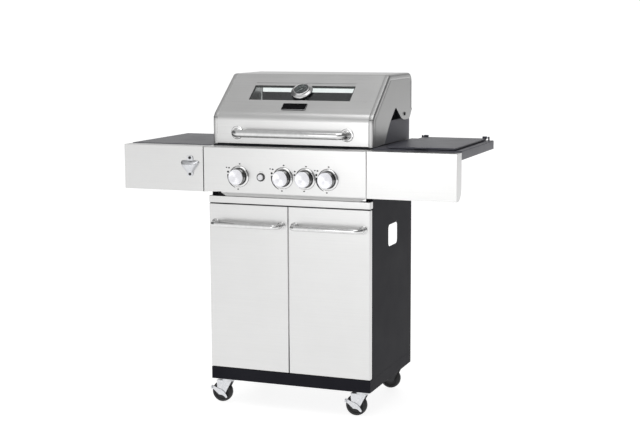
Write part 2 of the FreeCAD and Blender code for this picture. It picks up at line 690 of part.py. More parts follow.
def lid_skin():
    half = s.lid_half - s.lid_side
    outer = [(s.lid_front, s.lid_bottom)] + lid_corners(as_size(0)) + [(s.lid_back, s.lid_wall_low)]
    inner_foot = s.lid_bottom - MARGIN
    inner = [(s.lid_front + s.sheet, inner_foot)] + lid_corners(s.sheet)
    inner.append((s.lid_back - s.sheet, inner_foot))
    bends = [(1, s.front_bend), (2, s.top_bend), (3, s.rear_bend)]
    inner_bends = [(number, radius - s.sheet) for number, radius in bends]
    skin = plate("YZ_Plane", outer, -half, half, bends)
    hollow = plate("YZ_Plane", inner, -half - MARGIN, half + MARGIN, inner_bends)
    through = (-s.sheet - MARGIN, MARGIN)
    window = slope_box((-s.window_half, s.window_half), (s.window_low, s.window_high), through)
    return cut(skin, hollow, window)


def lid_side(side):
    """An end panel with the notch that clears the rear housing, and the lobe that carries the pivot."""
    bend, top_front, top_back = lid_corners(as_size(0))
    corners = [
        (s.lid_front, s.lid_bottom), (s.notch_front_y, s.notch_front_z), (s.notch_low_y, s.notch_low_z),
        (s.notch_peak_y, s.notch_peak_z), (s.lobe_front_y, s.lobe_front_z), (s.lobe_low_y, s.lobe_low_z),
        (s.lobe_back_y, s.lobe_low_z), (s.lid_back, s.notch_back_z), top_back, top_front, bend,
    ]
    rounds = [
        (2, s.notch_round), (3, s.peak_round), (4, s.lobe_round), (5, s.lobe_round), (6, s.peak_round),
        (7, s.peak_round), (8, s.rear_bend), (9, s.top_bend), (10, s.front_bend),
    ]
    low, high = span(side, s.lid_half - s.lid_side, s.lid_half)
    panel = plate("YZ_Plane", corners, low, high, rounds)
    length = s.lid_side + 2 * MARGIN
    bore = rod("x", low - MARGIN, s.pivot_y, s.pivot_z, s.pivot_radius + s.pin_play, length)
    return cut(panel, bore)


def window_glass():
    lap = s.glass_lap
    pane = slope_box(
        (-s.window_half - lap, s.window_half + lap), (s.window_low - lap, s.window_high + lap),
        (-s.sheet - s.glass, -s.sheet),
    )
    hole = doc.addObject("Part::Cylinder", "probe_hole")
    bind(hole, "Radius", s.probe_hole)
    bind(hole, "Height", s.glass + 2 * MARGIN)
    return cut(pane, on_slope(hole, 0, s.dial_along, -s.sheet - s.glass - MARGIN))


def thermometer():
    """A low conical bezel on the outside of the glass, a neck through it and a probe inside."""
    glass_face = -s.sheet
    dial = turned([
        (0, -s.probe_depth), (s.probe_radius, -s.probe_depth), (s.probe_radius, s.neck_end),
        (s.neck_radius, s.neck_end), (s.neck_radius, glass_face), (s.dial_foot_radius, glass_face),
        (s.dial_radius, s.dial_foot), (s.dial_radius, s.dial_edge), (s.dial_lip_radius, s.dial_height),
        (s.lens_radius, s.lens_height), (0, s.lens_height),
    ])
    return on_slope(dial, 0, s.dial_along, 0)


def badge_plate():
    return slope_box((s.badge_left, s.badge_right), (s.badge_low, s.badge_high), (0, s.badge_depth))


def lid_handle():
    return bent_handle(
        (-s.lid_post, s.lid_post), s.lid_front, s.lid_bar_y, s.lid_bar_z, s.lid_bar_radius, s.lid_bar_bend,
        s.lid_rosette,
    )


def lid_hinge_bolts():
    bolts = []
    shank_end = s.lid_half + s.catch_gap
    for side in SIDES.values():
        shank = span(side, s.fire_half, shank_end)
        head = span(side, shank_end, shank_end + s.pivot_head_depth)
        bolts.append(fuse(*(
            rod("x", low, s.pivot_y, s.pivot_z, radius, high - low)
            for (low, high), radius in ((shank, s.pivot_radius), (head, s.pivot_head))
        )))
    return group(*bolts)


# side shelves

def shelf_front(side):
    """The stainless front of a shelf: a face with folded top, bottom and end flanges."""
    x_span = span(side, s.shelf_inner, s.shelf_outer)
    front = s.panel_front
    back = front + s.shelf_front_depth
    pieces = [
        block(x_span, (front, front + s.sheet), (s.cabinet_top, s.panel_top)),
        block(x_span, (front, back), (s.panel_top - s.sheet, s.panel_top)),
        block(x_span, (front, front + s.shelf_fold), (s.cabinet_top, s.cabinet_top + s.sheet)),
    ]
    flange = [(front, s.cabinet_top), (back, s.cabinet_top), (back, s.panel_top), (front, s.panel_top)]
    for inner, outer in (
        (s.shelf_inner, s.shelf_inner + s.sheet), (s.shelf_outer - s.sheet, s.shelf_outer)
    ):
        pieces.append(plate("YZ_Plane", flange, *span(side, inner, outer), [(1, s.shelf_round)]))
    return fuse(*pieces)


def shelf_tray(side):
    x_span = span(side, s.shelf_inner, s.shelf_outer)
    front = s.panel_front + s.shelf_front_depth
    tray = shell(x_span, (front, s.shelf_back), (s.shelf_low, s.shelf_top), ["-z"])
    brackets = []
    for y in (s.bracket_front, s.bracket_back):
        bracket_x = span(side, s.fire_half, s.shelf_inner)
        brackets.append(block(bracket_x, (y, y + s.bracket_width), (s.bracket_low, s.bracket_high)))
    return fuse(tray, *brackets)


def pan_middle():
    return (s.pan_left + s.pan_right) / 2, (s.pan_front + s.pan_back) / 2


def shelf_right():
    """The right tray has a well pressed in it for the side burner, and brackets for its cover."""
    x_span = (s.pan_left, s.pan_right)
    y_span = (s.pan_front, s.pan_back)
    mouth = block(
        (x_span[0] + s.sheet, x_span[1] - s.sheet), (y_span[0] + s.sheet, y_span[1] - s.sheet),
        (s.pan_rim_low, s.shelf_top + MARGIN),
    )
    well = shell(x_span, y_span, (s.pan_floor, s.shelf_top), ["+z"])
    pan_x, pan_y = pan_middle()
    pipe_hole = rod("z", pan_x, pan_y, s.pan_floor - MARGIN, s.pipe_radius + s.pipe_play, 3 * MARGIN)
    (left_face, _), (_, right_face) = cover_pin_spans()
    arm_y = (s.cover_pin_y - s.hinge_arm_half, s.cover_pin_y + s.hinge_arm_half)
    arm_x = ((left_face - s.hinge_arm_width, left_face), (right_face, right_face + s.hinge_arm_width))
    brackets = [block(x, arm_y, (s.shelf_top, s.hinge_arm_top)) for x in arm_x]
    return fuse(cut(shelf_tray(SIDES["right"]), mouth), cut(well, pipe_hole), *brackets)


def side_burner():
    foot, low, top = s.pan_floor + s.sheet, s.side_burner_low, s.side_burner_top
    foot_radius, radius = s.side_burner_foot, s.side_burner_radius
    burner = turned([
        (0, foot), (foot_radius, foot), (foot_radius, low), (radius, low + s.side_burner_bevel),
        (radius, top - s.side_burner_bevel), (radius - s.side_burner_crown, top), (0, top),
    ])
    pan_x, pan_y = pan_middle()
    return place(burner, pan_x, pan_y, 0)


def pot_trivet():
    """Two crossed bars on four legs."""
    pan_x, pan_y = pan_middle()
    half, bar = s.trivet_half, s.trivet_bar / 2
    z_span = (s.trivet_low, s.trivet_high)
    pieces = [
        block((pan_x - half, pan_x + half), (pan_y - bar, pan_y + bar), z_span),
        block((pan_x - bar, pan_x + bar), (pan_y - half, pan_y + half), z_span),
    ]
    legs = (s.pan_floor + s.sheet, s.trivet_high)
    for reach in (-1, 1):
        end = reach * (half - bar)
        pieces.append(block((pan_x + end - bar, pan_x + end + bar), (pan_y - bar, pan_y + bar), legs))
        pieces.append(block((pan_x - bar, pan_x + bar), (pan_y + end - bar, pan_y + end + bar), legs))
    return fuse(*pieces)


def side_burner_cover():
    """A shallow pan turned over the burner, with a lip to lift it and two knuckles on its rear edge."""
    x_span = (s.cover_left, s.cover_right)
    pan = shell(x_span, (s.cover_front, s.cover_back), (s.cover_low, s.cover_high), ["-z"])
    lip = block(
        (s.lip_left, s.lip_right), (s.cover_front - s.lip_reach, s.cover_front),
        (s.cover_high - 2 * s.sheet, s.cover_high),
    )
    pieces = [pan, lip]
    bores = []
    for left in (s.cover_left, s.cover_right - s.knuckle_length):
        knuckle_x = (left, left + s.knuckle_length)
        arm_y = (s.cover_arm_front, s.cover_pin_y)
        arm = block(knuckle_x, arm_y, (s.cover_high - s.cover_arm_depth, s.cover_high))
        knuckle = rod("x", left, s.cover_pin_y, s.cover_pin_z, s.knuckle_radius, s.knuckle_length)
        pieces += [arm, knuckle]
        radius = s.cover_pin_radius + s.pin_play
        length = s.knuckle_length + 2 * MARGIN
        bores.append(rod("x", left - MARGIN, s.cover_pin_y, s.cover_pin_z, radius, length))
    return cut(fuse(*pieces), *bores)


def bottle_opener():
    """A cast base plate with a hood that catches the crown cap."""
    x, front, wall = s.opener_x, s.panel_front, s.opener_wall
    base_half, half = s.opener_base_half, s.opener_half
    base_corners = [
        (x - base_half, s.opener_base_low), (x + base_half, s.opener_base_low),
        (x + base_half, s.opener_base_high), (x - base_half, s.opener_base_high),
    ]
    rounds = [(number, s.opener_round) for number in range(4)]
    base = plate("XZ_Plane", base_corners, front - wall, front, rounds)
    foot, top = s.opener_foot_half, s.opener_top_half
    hood_corners = [
        (x - foot, s.opener_low), (x + foot, s.opener_low), (x + half, s.opener_waist_z),
        (x + top, s.opener_high), (x - top, s.opener_high), (x - half, s.opener_waist_z),
    ]
    hood = plate("XZ_Plane", hood_corners, front - s.opener_reach, front)
    mouth_x = (x - foot + wall, x + foot - wall)
    mouth_y = (front - s.opener_reach + wall, front - wall)
    mouth = block(mouth_x, mouth_y, (s.opener_low - MARGIN, s.opener_high - wall))
    return fuse(base, cut(hood, mouth))


def screws():
    y = s.panel_front - s.opener_wall - s.screw_depth
    return group(*(
        rod("y", s.opener_x, y, z, s.screw_radius, s.screw_depth) for z in (s.screw_low, s.screw_high)
    ))


# casters

def caster_places():
    """Kingpin centres: front left, front right, rear left, rear right."""
    return [(x, y) for y in (s.caster_front, s.caster_back) for x in (-s.caster_x, s.caster_x)]


def caster_plates():
    plates = []
    for x, y in caster_places():
        half = s.plate_half
        top = block((x - half, x + half), (y - half, y + half), (s.plate_low, s.base_bottom))
        pin = rod("z", x, y, s.kingpin_low, s.kingpin_radius, s.base_bottom - s.kingpin_low)
        head = rod("z", x, y, s.kingpin_low, s.kingpin_head, s.kingpin_head_top - s.kingpin_low)
        plates.append(fuse(top, pin, head))
    return group(*plates)


def caster_fork(x, y):
    """A swivelling crown with two legs, and the axle riveted across them."""
    axle_x = x - s.caster_trail
    axle_z = s.wheel_radius
    crown_x = (axle_x - s.crown_rear, x + s.crown_front)
    crown = block(crown_x, (y - s.leg_outer, y + s.leg_outer), (s.crown_low, s.crown_high))
    race = rod("z", x, y, s.crown_low, s.race_radius, s.race_top - s.crown_low)
    leg_corners = [
        (axle_x - s.leg_half, axle_z - s.leg_drop), (axle_x + s.leg_half, axle_z - s.leg_drop),
        (crown_x[1], s.crown_high), (crown_x[0], s.crown_high),
    ]
    rounds = [(0, s.leg_round), (1, s.leg_round)]
    legs = []
    for low, high in ((-s.leg_outer, -s.leg_inner), (s.leg_inner, s.leg_outer)):
        legs.append(plate("XZ_Plane", leg_corners, y + low, y + high, rounds))
    axle = rod("y", axle_x, y - s.leg_outer, axle_z, s.axle_radius, 2 * s.leg_outer)
    depth = s.axle_head_depth
    heads = [
        rod("y", axle_x, head_y, axle_z, s.axle_head, depth)
        for head_y in (y - s.leg_outer - depth, y + s.leg_outer)
    ]
    bore_height = s.race_top - s.crown_low + 2 * MARGIN
    bore = rod("z", x, y, s.crown_low - MARGIN, s.kingpin_radius + s.pin_play, bore_height)
    return fuse(cut(fuse(crown, race, *legs), bore), axle, *heads)


def caster_wheel(x, y):
    """A tread with rounded shoulders on a hub."""
    radius, half, hub, edge = s.wheel_radius, s.wheel_half, s.hub_half, s.wheel_shoulder
    profile = [
        (s.axle_radius + s.pin_play, -hub), (s.hub_radius, -hub), (s.hub_radius, -half),
        (radius - edge, -half), (radius, edge - half), (radius, half - edge), (radius - edge, half),
        (s.hub_radius, half), (s.hub_radius, hub), (s.axle_radius + s.pin_play, hub),
    ]
    return place(turned(profile), x - s.caster_trail, y, radius, TURNS["y"])


def brake_lever(x, y):
    """A stamped band across the wheel's face that rocks on the axle head, with a foot tab at each end."""
    axle_x, axle_z = x - s.caster_trail, s.wheel_radius
    tail, tip = axle_x - s.lever_half, axle_x + s.lever_half
    tail_z = (axle_z + s.lever_edge, axle_z + s.lever_tail)
    band = [
        (tail, tail_z[0]), (axle_x - s.lever_waist, axle_z - s.lever_edge),
        (axle_x + s.lever_knee, axle_z - s.lever_side), (tip, axle_z - s.lever_tip_low),
        (tip, axle_z + s.lever_tip_high), (axle_x + s.lever_waist, axle_z + s.lever_edge),
        (axle_x - s.lever_waist, axle_z + s.lever_side), (tail, tail_z[1]),
    ]
    outer, inner = y - s.lever_outer, y - s.lever_inner
    lever = plate("XZ_Plane", band, outer, inner)
    tab = block((tail - s.tab_outer, tail + s.tab_inner), (outer - s.tab_reach, inner), tail_z)
    hole = rod("y", axle_x, outer - MARGIN, axle_z, s.axle_head + s.pin_play, 4 * MARGIN)
    return cut(fuse(lever, tab), hole)


def make_grill():
    subpart("base_tray", base_tray())
    for name, side in SIDES.items():
        subpart(f"side_panel_{name}", side_panel(side))
        subpart(f"door_{name}", door(side))
        subpart(f"door_handle_{name}", door_handle(side))
        subpart(f"lid_side_{name}", lid_side(side))
        subpart(f"shelf_front_{name}", shelf_front(side))
    for number, x in enumerate(valve_places(), 1):
        subpart(f"valve_stem_{number}", valve_stem(x))
        subpart(f"knob_{number}", knob(x))
    for number, (x, y) in enumerate(caster_places(), 1):
        subpart(f"caster_fork_{number}", caster_fork(x, y))
        subpart(f"caster_wheel_{number}", caster_wheel(x, y))
    for number, (x, y) in enumerate(caster_places()[:2], 1):
        subpart(f"brake_lever_{number}", brake_lever(x, y))
    subpart("shelf_left", shelf_tray(SIDES["left"]))
    for builder in (
        front_rail, rear_rail, hinge_pins, door_catches, firebox, rear_housing, main_burners, flame_tamers,
        cooking_grates, warming_rack, grease_tray, gas_manifold, gas_valves, ignition_module,
        igniter_button, control_panel, knob_bezels, lid_skin, window_glass, thermometer, badge_plate,
        lid_handle, lid_hinge_bolts, shelf_right, side_burner, pot_trivet, side_burner_cover,
        bottle_opener, screws, caster_plates,
    ):
        subpart(builder.__name__, builder())


def check_and_export():
    failed = [item.Name for item in doc.Objects if {"Invalid", "Error"} & set(item.State)]
    if failed:
        raise RuntimeError(f"these objects did not recompute: {failed}")
    os.makedirs("parts", exist_ok=True)
    for item in subparts:
        if item.Shape.isNull() or not item.Shape.isValid() or item.Shape.Volume <= 0:
            raise RuntimeError(f"{item.Label} has no valid solid")
        item.Shape.exportStep(f"parts/{item.Label}.step")
        print(f"{item.Label}: {len(item.Shape.Solids)} solid(s), {item.Shape.Volume / 1000:.1f} cm3")


make_grill()
doc.recompute()
check_and_export()
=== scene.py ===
import json
from math import acos, atan2, copysign, cos, pi, radians, sin, tan

import bmesh
import bpy
from mathutils import Euler, Matrix, Vector


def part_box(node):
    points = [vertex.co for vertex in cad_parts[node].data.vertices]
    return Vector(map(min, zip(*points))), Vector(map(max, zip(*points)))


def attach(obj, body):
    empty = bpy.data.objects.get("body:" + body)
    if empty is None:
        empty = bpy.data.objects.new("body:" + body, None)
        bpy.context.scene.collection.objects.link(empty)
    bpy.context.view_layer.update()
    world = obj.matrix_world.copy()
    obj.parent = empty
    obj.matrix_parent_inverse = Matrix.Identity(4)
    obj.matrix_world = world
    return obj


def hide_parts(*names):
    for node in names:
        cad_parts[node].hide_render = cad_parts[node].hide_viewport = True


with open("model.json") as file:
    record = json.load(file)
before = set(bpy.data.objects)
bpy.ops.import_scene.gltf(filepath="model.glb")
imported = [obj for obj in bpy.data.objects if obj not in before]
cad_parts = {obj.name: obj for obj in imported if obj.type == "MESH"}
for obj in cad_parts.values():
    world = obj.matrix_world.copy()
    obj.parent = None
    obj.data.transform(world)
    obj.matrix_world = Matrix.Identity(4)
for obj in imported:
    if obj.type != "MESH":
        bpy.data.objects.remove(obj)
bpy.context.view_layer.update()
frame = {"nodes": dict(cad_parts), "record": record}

# Gas barbecue grill: the looks. Metres, +Z up, the cook stands at -Y, +X to the cook's right.
MM = 0.001


# shader helpers

NOISE_ROUGHNESS = 0.55
GRAIN_STRETCH = 0.012


def fill(node, **values):
    """Sets a node's inputs by name, with underscores for spaces."""
    for key, value in values.items():
        node.inputs[key.replace("_", " ")].default_value = value


def map_range(tree, value, from_low, from_high, low, high):
    node = tree.nodes.new("ShaderNodeMapRange")
    fill(node, From_Min=from_low, From_Max=from_high, To_Min=low, To_Max=high)
    tree.links.new(value, node.inputs["Value"])
    return node.outputs["Result"]


class Nodes:
    """A material's node tree with short ways to add what every finish here needs."""

    def __init__(self, name):
        self.material = bpy.data.materials.new(name)
        self.material.use_nodes = True
        self.tree = self.material.node_tree
        self.shader = self.tree.nodes["Principled BSDF"]
        self.place = self.add("TexCoord").outputs["Object"]

    def add(self, kind, **settings):
        node = self.tree.nodes.new("ShaderNode" + kind)
        for key, value in settings.items():
            setattr(node, key, value)
        return node

    def link(self, output, target):
        self.tree.links.new(output, target)

    def set(self, **values):
        fill(self.shader, **values)

    def noise(self, scale, stretch=(1, 1, 1), detail=3):
        mapping = self.add("Mapping")
        fill(mapping, Scale=stretch)
        self.link(self.place, mapping.inputs["Vector"])
        noise = self.add("TexNoise")
        fill(noise, Scale=scale, Detail=detail, Roughness=NOISE_ROUGHNESS)
        self.link(mapping.outputs["Vector"], noise.inputs["Vector"])
        return noise.outputs["Fac"]

    def span(self, value, low, high, from_low=0.3, from_high=0.7):
        """Maps a 0-1 texture to a range of numbers."""
        return map_range(self.tree, value, from_low, from_high, low, high)

    def average(self, first, second, share):
        node = self.add("Mix", data_type="FLOAT")
        node.inputs[0].default_value = share
        self.link(first, node.inputs[2])
        self.link(second, node.inputs[3])
        return node.outputs[0]

    def tint(self, value, dark, light):
        node = self.add("Mix", data_type="RGBA")
        node.inputs[6].default_value = (*dark, 1)
        node.inputs[7].default_value = (*light, 1)
        self.link(value, node.inputs[0])
        self.link(node.outputs[2], self.shader.inputs["Base Color"])

    def rough(self, value):
        self.link(value, self.shader.inputs["Roughness"])

    def bump(self, value, strength, distance):
        node = self.add("Bump")
        fill(node, Strength=strength, Distance=distance)
        self.link(value, node.inputs["Height"])
        self.link(node.outputs["Normal"], self.shader.inputs["Normal"])


def stretched(along):
    """Scale factors that draw a grain out along one axis."""
    return tuple(GRAIN_STRETCH if axis == along else 1.0 for axis in "xyz")


def brushed_steel(name, along, dark=0.635, light=0.685, low=0.27, high=0.32):
    """Stainless sheet with a straight grain along one axis, faint streaks and a few soft smudges."""
    n = Nodes(name)
    n.set(Metallic=1.0)
    grain = n.noise(2600, stretched(along), 2.0)
    streak = n.noise(260, stretched(along))
    smudge = n.noise(7, detail=2)
    finish = n.average(n.average(grain, streak, 0.5), smudge, 0.3)
    n.tint(n.span(finish, 0, 1), (dark, dark, dark * 0.995), (light, light, light * 0.995))
    n.rough(n.span(finish, low, high))
    n.bump(n.average(grain, streak, 0.2), 0.05, 0.00005)
    return n.material


def polished_steel(name, dark=0.66, light=0.74, low=0.05, high=0.12):
    n = Nodes(name)
    n.set(Metallic=1.0)
    wear = n.noise(60, detail=4)
    haze = n.noise(900, detail=2)
    n.tint(n.span(wear, 0, 1), (dark, dark, dark), (light, light, light))
    n.rough(n.span(n.average(wear, haze, 0.5), low, high))
    n.bump(haze, 0.03, 0.00005)
    return n.material


def powder_coat(name, colour, rough=0.46, grain=1400, gloss=0.5):
    """Baked paint: a fine pebble texture, slightly uneven gloss and a faintly lighter dust in the tone."""
    n = Nodes(name)
    n.set(Specular_IOR_Level=gloss)
    pebble = n.noise(grain, detail=2)
    cloud = n.noise(9)
    light = [channel * 1.2 + 0.004 for channel in colour]
    n.tint(n.span(n.average(pebble, cloud, 0.6), 0, 1), colour, light)
    n.rough(n.span(n.average(pebble, cloud, 0.5), rough - 0.05, rough + 0.07))
    n.bump(pebble, 0.25, 0.0001)
    return n.material


def cast_iron(name):
    n = Nodes(name)
    grain = n.noise(700, detail=4)
    cloud = n.noise(40)
    n.tint(n.span(cloud, 0, 1), (0.012, 0.012, 0.012), (0.035, 0.033, 0.031))
    n.rough(n.span(grain, 0.5, 0.75))
    n.bump(grain, 0.5, 0.0004)
    return n.material


def zinc_plate(name, dark=0.5, light=0.72):
    n = Nodes(name)
    n.set(Metallic=1.0)
    cells = n.add("TexVoronoi")
    fill(cells, Scale=260)
    n.link(n.place, cells.inputs["Vector"])
    cloud = n.noise(120)
    mixed = n.average(cells.outputs["Distance"], cloud, 0.6)
    dull, bright = (dark, dark * 1.02, dark * 1.06), (light, light * 1.01, light * 1.04)
    n.tint(n.span(mixed, 0, 1, 0.2, 0.7), dull, bright)
    n.rough(n.span(mixed, 0.22, 0.42, 0.2, 0.7))
    n.bump(cloud, 0.08, 0.0001)
    return n.material


def moulded_plastic(name, colour, low=0.35, high=0.5, metallic=0.0, grain=1800, gloss=0.5):
    n = Nodes(name)
    n.set(Metallic=metallic, Specular_IOR_Level=gloss)
    grain_tone = n.noise(grain, detail=2)
    cloud = n.noise(50, detail=2)
    light = [min(1.0, channel * 1.12 + 0.004) for channel in colour]
    n.tint(n.span(cloud, 0, 1), colour, light)
    n.rough(n.span(n.average(grain_tone, cloud, 0.5), low, high))
    n.bump(grain_tone, 0.08, 0.00005)
    return n.material


def tempered_glass(name):
    n = Nodes(name)
    n.set(Transmission_Weight=1.0, IOR=1.45)
    film = n.noise(22)
    n.tint(n.span(film, 0, 1), (0.8, 0.87, 0.85), (0.88, 0.93, 0.92))
    n.rough(n.span(film, 0.0, 0.025, 0.35, 0.75))
    return n.material


def spun_metal(name, colour, low=0.16, high=0.28):
    """Silver knob faces: turned, so the gloss runs round the knob's own axis, which is along Y."""
    n = Nodes(name)
    n.set(Metallic=1.0, Anisotropic=0.92)
    tangent = n.add("Tangent", direction_type="RADIAL", axis="Y")
    n.link(tangent.outputs["Tangent"], n.shader.inputs["Tangent"])
    fine = n.noise(1500, detail=2)
    light = [min(1.0, channel * 1.1) for channel in colour]
    n.tint(n.span(fine, 0, 1), colour, light)
    n.rough(n.span(fine, low, high))
    return n.material


# The finish of each material slot has the slot's name, and the others are looks that some pieces wear
# instead. Plain numbers after a metal's name: its dark and light tone, then its least and most roughness.
MATERIALS = {
    "stainless": brushed_steel("stainless_grain_x", "x"),
    "steel_lid": brushed_steel("stainless_lid_grain_x", "x", 0.6, 0.7, 0.26, 0.36),
    # steel_end: the lid's stainless with an upright grain, its tone set darker than the skin's as painted
    # shade on the lid's sides.
    "steel_end": brushed_steel("stainless_end_grain_z_painted_shade", "z", 0.48, 0.55, 0.3, 0.42),
    "polished_tube": polished_steel("polished_tube_steel"),
    "chrome": polished_steel("bezel_chrome", 0.74, 0.84, 0.06, 0.16),
    # knob_waist: a darker copy of the knobs' silver, painted shade on the knobs' sides.
    "knob_waist": polished_steel("knob_waist_chrome_painted_shade", 0.2, 0.3, 0.1, 0.2),
    "silver_knob": spun_metal("spun_knob_silver", (0.72, 0.72, 0.75), 0.24, 0.36),
    "black_steel": powder_coat("black_powder_coat", (0.01, 0.01, 0.014), 0.5, gloss=0.05),
    "shelf_paint": powder_coat("shelf_dark_grey_coat", (0.045, 0.045, 0.06), 0.36, gloss=0.35),
    "housing_paint": powder_coat("housing_grey_heat_paint", (0.165, 0.165, 0.19), 0.5, gloss=0.2),
    "enamel": powder_coat("firebox_black_enamel", (0.012, 0.012, 0.012), 0.3, 500),
    "cast_iron": cast_iron("enamelled_cast_iron"),
    "burner_steel": brushed_steel("plain_tube_steel", "y", 0.4, 0.52, 0.35, 0.5),
    "brass": polished_steel("machined_brass", 0.5, 0.6, 0.2, 0.3),
    "zinc": zinc_plate("bright_zinc"),
    "dark_zinc": powder_coat("caster_black_coat", (0.02, 0.02, 0.023), 0.4),
    "black_bolt": powder_coat("black_oxide", (0.008, 0.008, 0.009), 0.35, 900),
    "wheel_rubber": moulded_plastic("wheel_black_rubber", (0.012, 0.012, 0.013), 0.55, 0.75, 0.0, 900),
    "glass": tempered_glass("window_glass_green_tint"),
    "badge_black": moulded_plastic("badge_gloss_black", (0.002, 0.002, 0.003), 0.1, 0.18, gloss=0.05),
    "button_plastic": moulded_plastic("button_light_silver", (0.74, 0.74, 0.76), 0.2, 0.3, 0.05),
    "module_plastic": moulded_plastic("module_black_plastic", (0.02, 0.02, 0.02)),
    "dial": moulded_plastic("dial_dark", (0.018, 0.018, 0.022), 0.3, 0.42),
    "dial_marks": moulded_plastic("dial_grey_print", (0.42, 0.42, 0.44), 0.4, 0.5),
    "satin_chrome": polished_steel("gauge_satin_steel", 0.62, 0.72, 0.14, 0.24),
    "needle": moulded_plastic("needle_white", (0.62, 0.62, 0.62), 0.3, 0.4),
    "lens": tempered_glass("thermometer_lens_glass"),
    "cast_silver": zinc_plate("opener_cast_silver", 0.55, 0.7),
    "print": moulded_plastic("panel_print_ink", (0.01, 0.01, 0.012), 0.5, 0.6, gloss=0.2),
}

# geometry helpers

SMOOTH_ANGLE = radians(38)
EDGE_ANGLE = radians(35)


def add_object(name, data):
    holder = bpy.data.objects.new(name, data)
    bpy.context.scene.collection.objects.link(holder)
    return holder


def soften(piece, width):
    """Rounds the hard edges of a piece and lets its flat faces keep flat shading."""
    bevel = piece.modifiers.new("edges", "BEVEL")
    bevel.width = width
    bevel.segments = 2
    bevel.limit_method = "ANGLE"
    bevel.angle_limit = EDGE_ANGLE
    bevel.use_clamp_overlap = True
    piece.modifiers.new("normals", "WEIGHTED_NORMAL")


def finish_piece(name, bm, body, slot, replaced=(), edge=0.0, sheet=0.0, outward=None, look=None):
    """Turns a bmesh into a piece that rides on a body. sheet thickens it inwards, edge rounds its edges."""
    bmesh.ops.recalc_face_normals(bm, faces=bm.faces)
    if outward is not None:
        largest = max(bm.faces, key=lambda face: face.calc_area())
        if largest.normal.dot(outward) < 0:
            bmesh.ops.reverse_faces(bm, faces=bm.faces)
    mesh = bpy.data.meshes.new(name)
    bm.to_mesh(mesh)
    bm.free()
    for polygon in mesh.polygons:
        polygon.use_smooth = True
    mesh.set_sharp_from_angle(angle=SMOOTH_ANGLE)
    mesh.materials.append(MATERIALS[look or slot])
    piece = add_object(name, mesh)
    if sheet:
        thicken = piece.modifiers.new("sheet", "SOLIDIFY")
        thicken.thickness = sheet
        thicken.offset = -1
        thicken.use_even_offset = True
    if edge:
        soften(piece, edge)
    elif sheet:
        piece.modifiers.new("normals", "WEIGHTED_NORMAL")
    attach(piece, body)
    if replaced:
        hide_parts(*replaced)
    return piece


def rounded(points, radii, steps=6, closed=False):
    """A 2-D line through corners, with an arc of the given radius at each corner that has one."""
    result = []
    count = len(points)
    for number, point in enumerate(points):
        radius = radii.get(number, 0) if isinstance(radii, dict) else radii
        inside = closed or 0 < number < count - 1
        corner = Vector(point)
        if not radius or not inside:
            result.append(corner)
            continue
        before = (Vector(points[number - 1]) - corner).normalized()
        after = (Vector(points[(number + 1) % count]) - corner).normalized()
        half = acos(max(-1, min(1, before.dot(after)))) / 2
        if half > radians(89.5):
            result.append(corner)
            continue
        reach = radius / tan(half)
        middle = corner + (before + after).normalized() * (radius / sin(half))
        start, end = corner + before * reach - middle, corner + after * reach - middle
        turn = atan2(start.x * end.y - start.y * end.x, start.dot(end))
        for step in range(steps + 1):
            angle = turn * step / steps
            cosine, sine = cos(angle), sin(angle)
            reached = Vector((start.x * cosine - start.y * sine, start.x * sine + start.y * cosine))
            result.append(middle + reached)
    return result


def rectangle(left, right, low, high):
    return [(left, low), (right, low), (right, high), (left, high)]


def axis_frame(along):
    """Two directions square to an axis: the first is level."""
    along = Vector(along).normalized()
    across = Vector((0, 0, 1)).cross(along)
    across = across.normalized() if across.length > 0.01 else Vector((1, 0, 0))
    return along, across, along.cross(across)


def ring_of(bm, middle, across, up, radius, turns):
    angles = (2 * pi * turn / turns for turn in range(turns))
    return [bm.verts.new(middle + (across * cos(a) + up * sin(a)) * radius) for a in angles]


def loft(bm, rows):
    """Faces between open rows of points that have the same number each."""
    for first, second in zip(rows, rows[1:]):
        for number in range(len(first) - 1):
            bm.faces.new((first[number], first[number + 1], second[number + 1], second[number]))


def lathe(profile, centre, along, turns=72, bm=None):
    """Turns a line of (radius, height) points about an axis through centre."""
    bm = bm or bmesh.new()
    along, across, up = axis_frame(along)
    rings = []
    for radius, height in profile:
        middle = Vector(centre) + along * height
        if radius < 1e-6:
            rings.append([bm.verts.new(middle)])
        else:
            rings.append(ring_of(bm, middle, across, up, radius, turns))
    for first, second in zip(rings, rings[1:]):
        if len(first) == 1 and len(second) == 1:
            continue
        for turn in range(turns):
            following = (turn + 1) % turns
            if len(first) == 1:
                corners = (first[0], second[turn], second[following])
            elif len(second) == 1:
                corners = (first[turn], second[0], first[following])
            else:
                corners = (first[turn], second[turn], second[following], first[following])
            bm.faces.new(corners)
    return bm


def tube(path, radius, turns=28, bm=None, closed=False):
    """A round bar along a line of points."""
    bm = bm or bmesh.new()
    path = [Vector(point) for point in path]
    count = len(path)
    rings = []
    level = None
    for number, point in enumerate(path):
        before = path[number - 1] if closed or number else point
        after = path[(number + 1) % count] if closed or number < count - 1 else point
        heading = (after - before).normalized()
        if level is None:
            level = heading.orthogonal()
        level = (level - heading * level.dot(heading)).normalized()
        rings.append(ring_of(bm, point, level, heading.cross(level), radius, turns))
    pairs = list(zip(rings, rings[1:])) + ([(rings[-1], rings[0])] if closed else [])
    for first, second in pairs:
        for turn in range(turns):
            following = (turn + 1) % turns
            bm.faces.new((first[turn], second[turn], second[following], first[following]))
    if not closed:
        bm.faces.new(rings[0][::-1])
        bm.faces.new(rings[-1])
    return bm


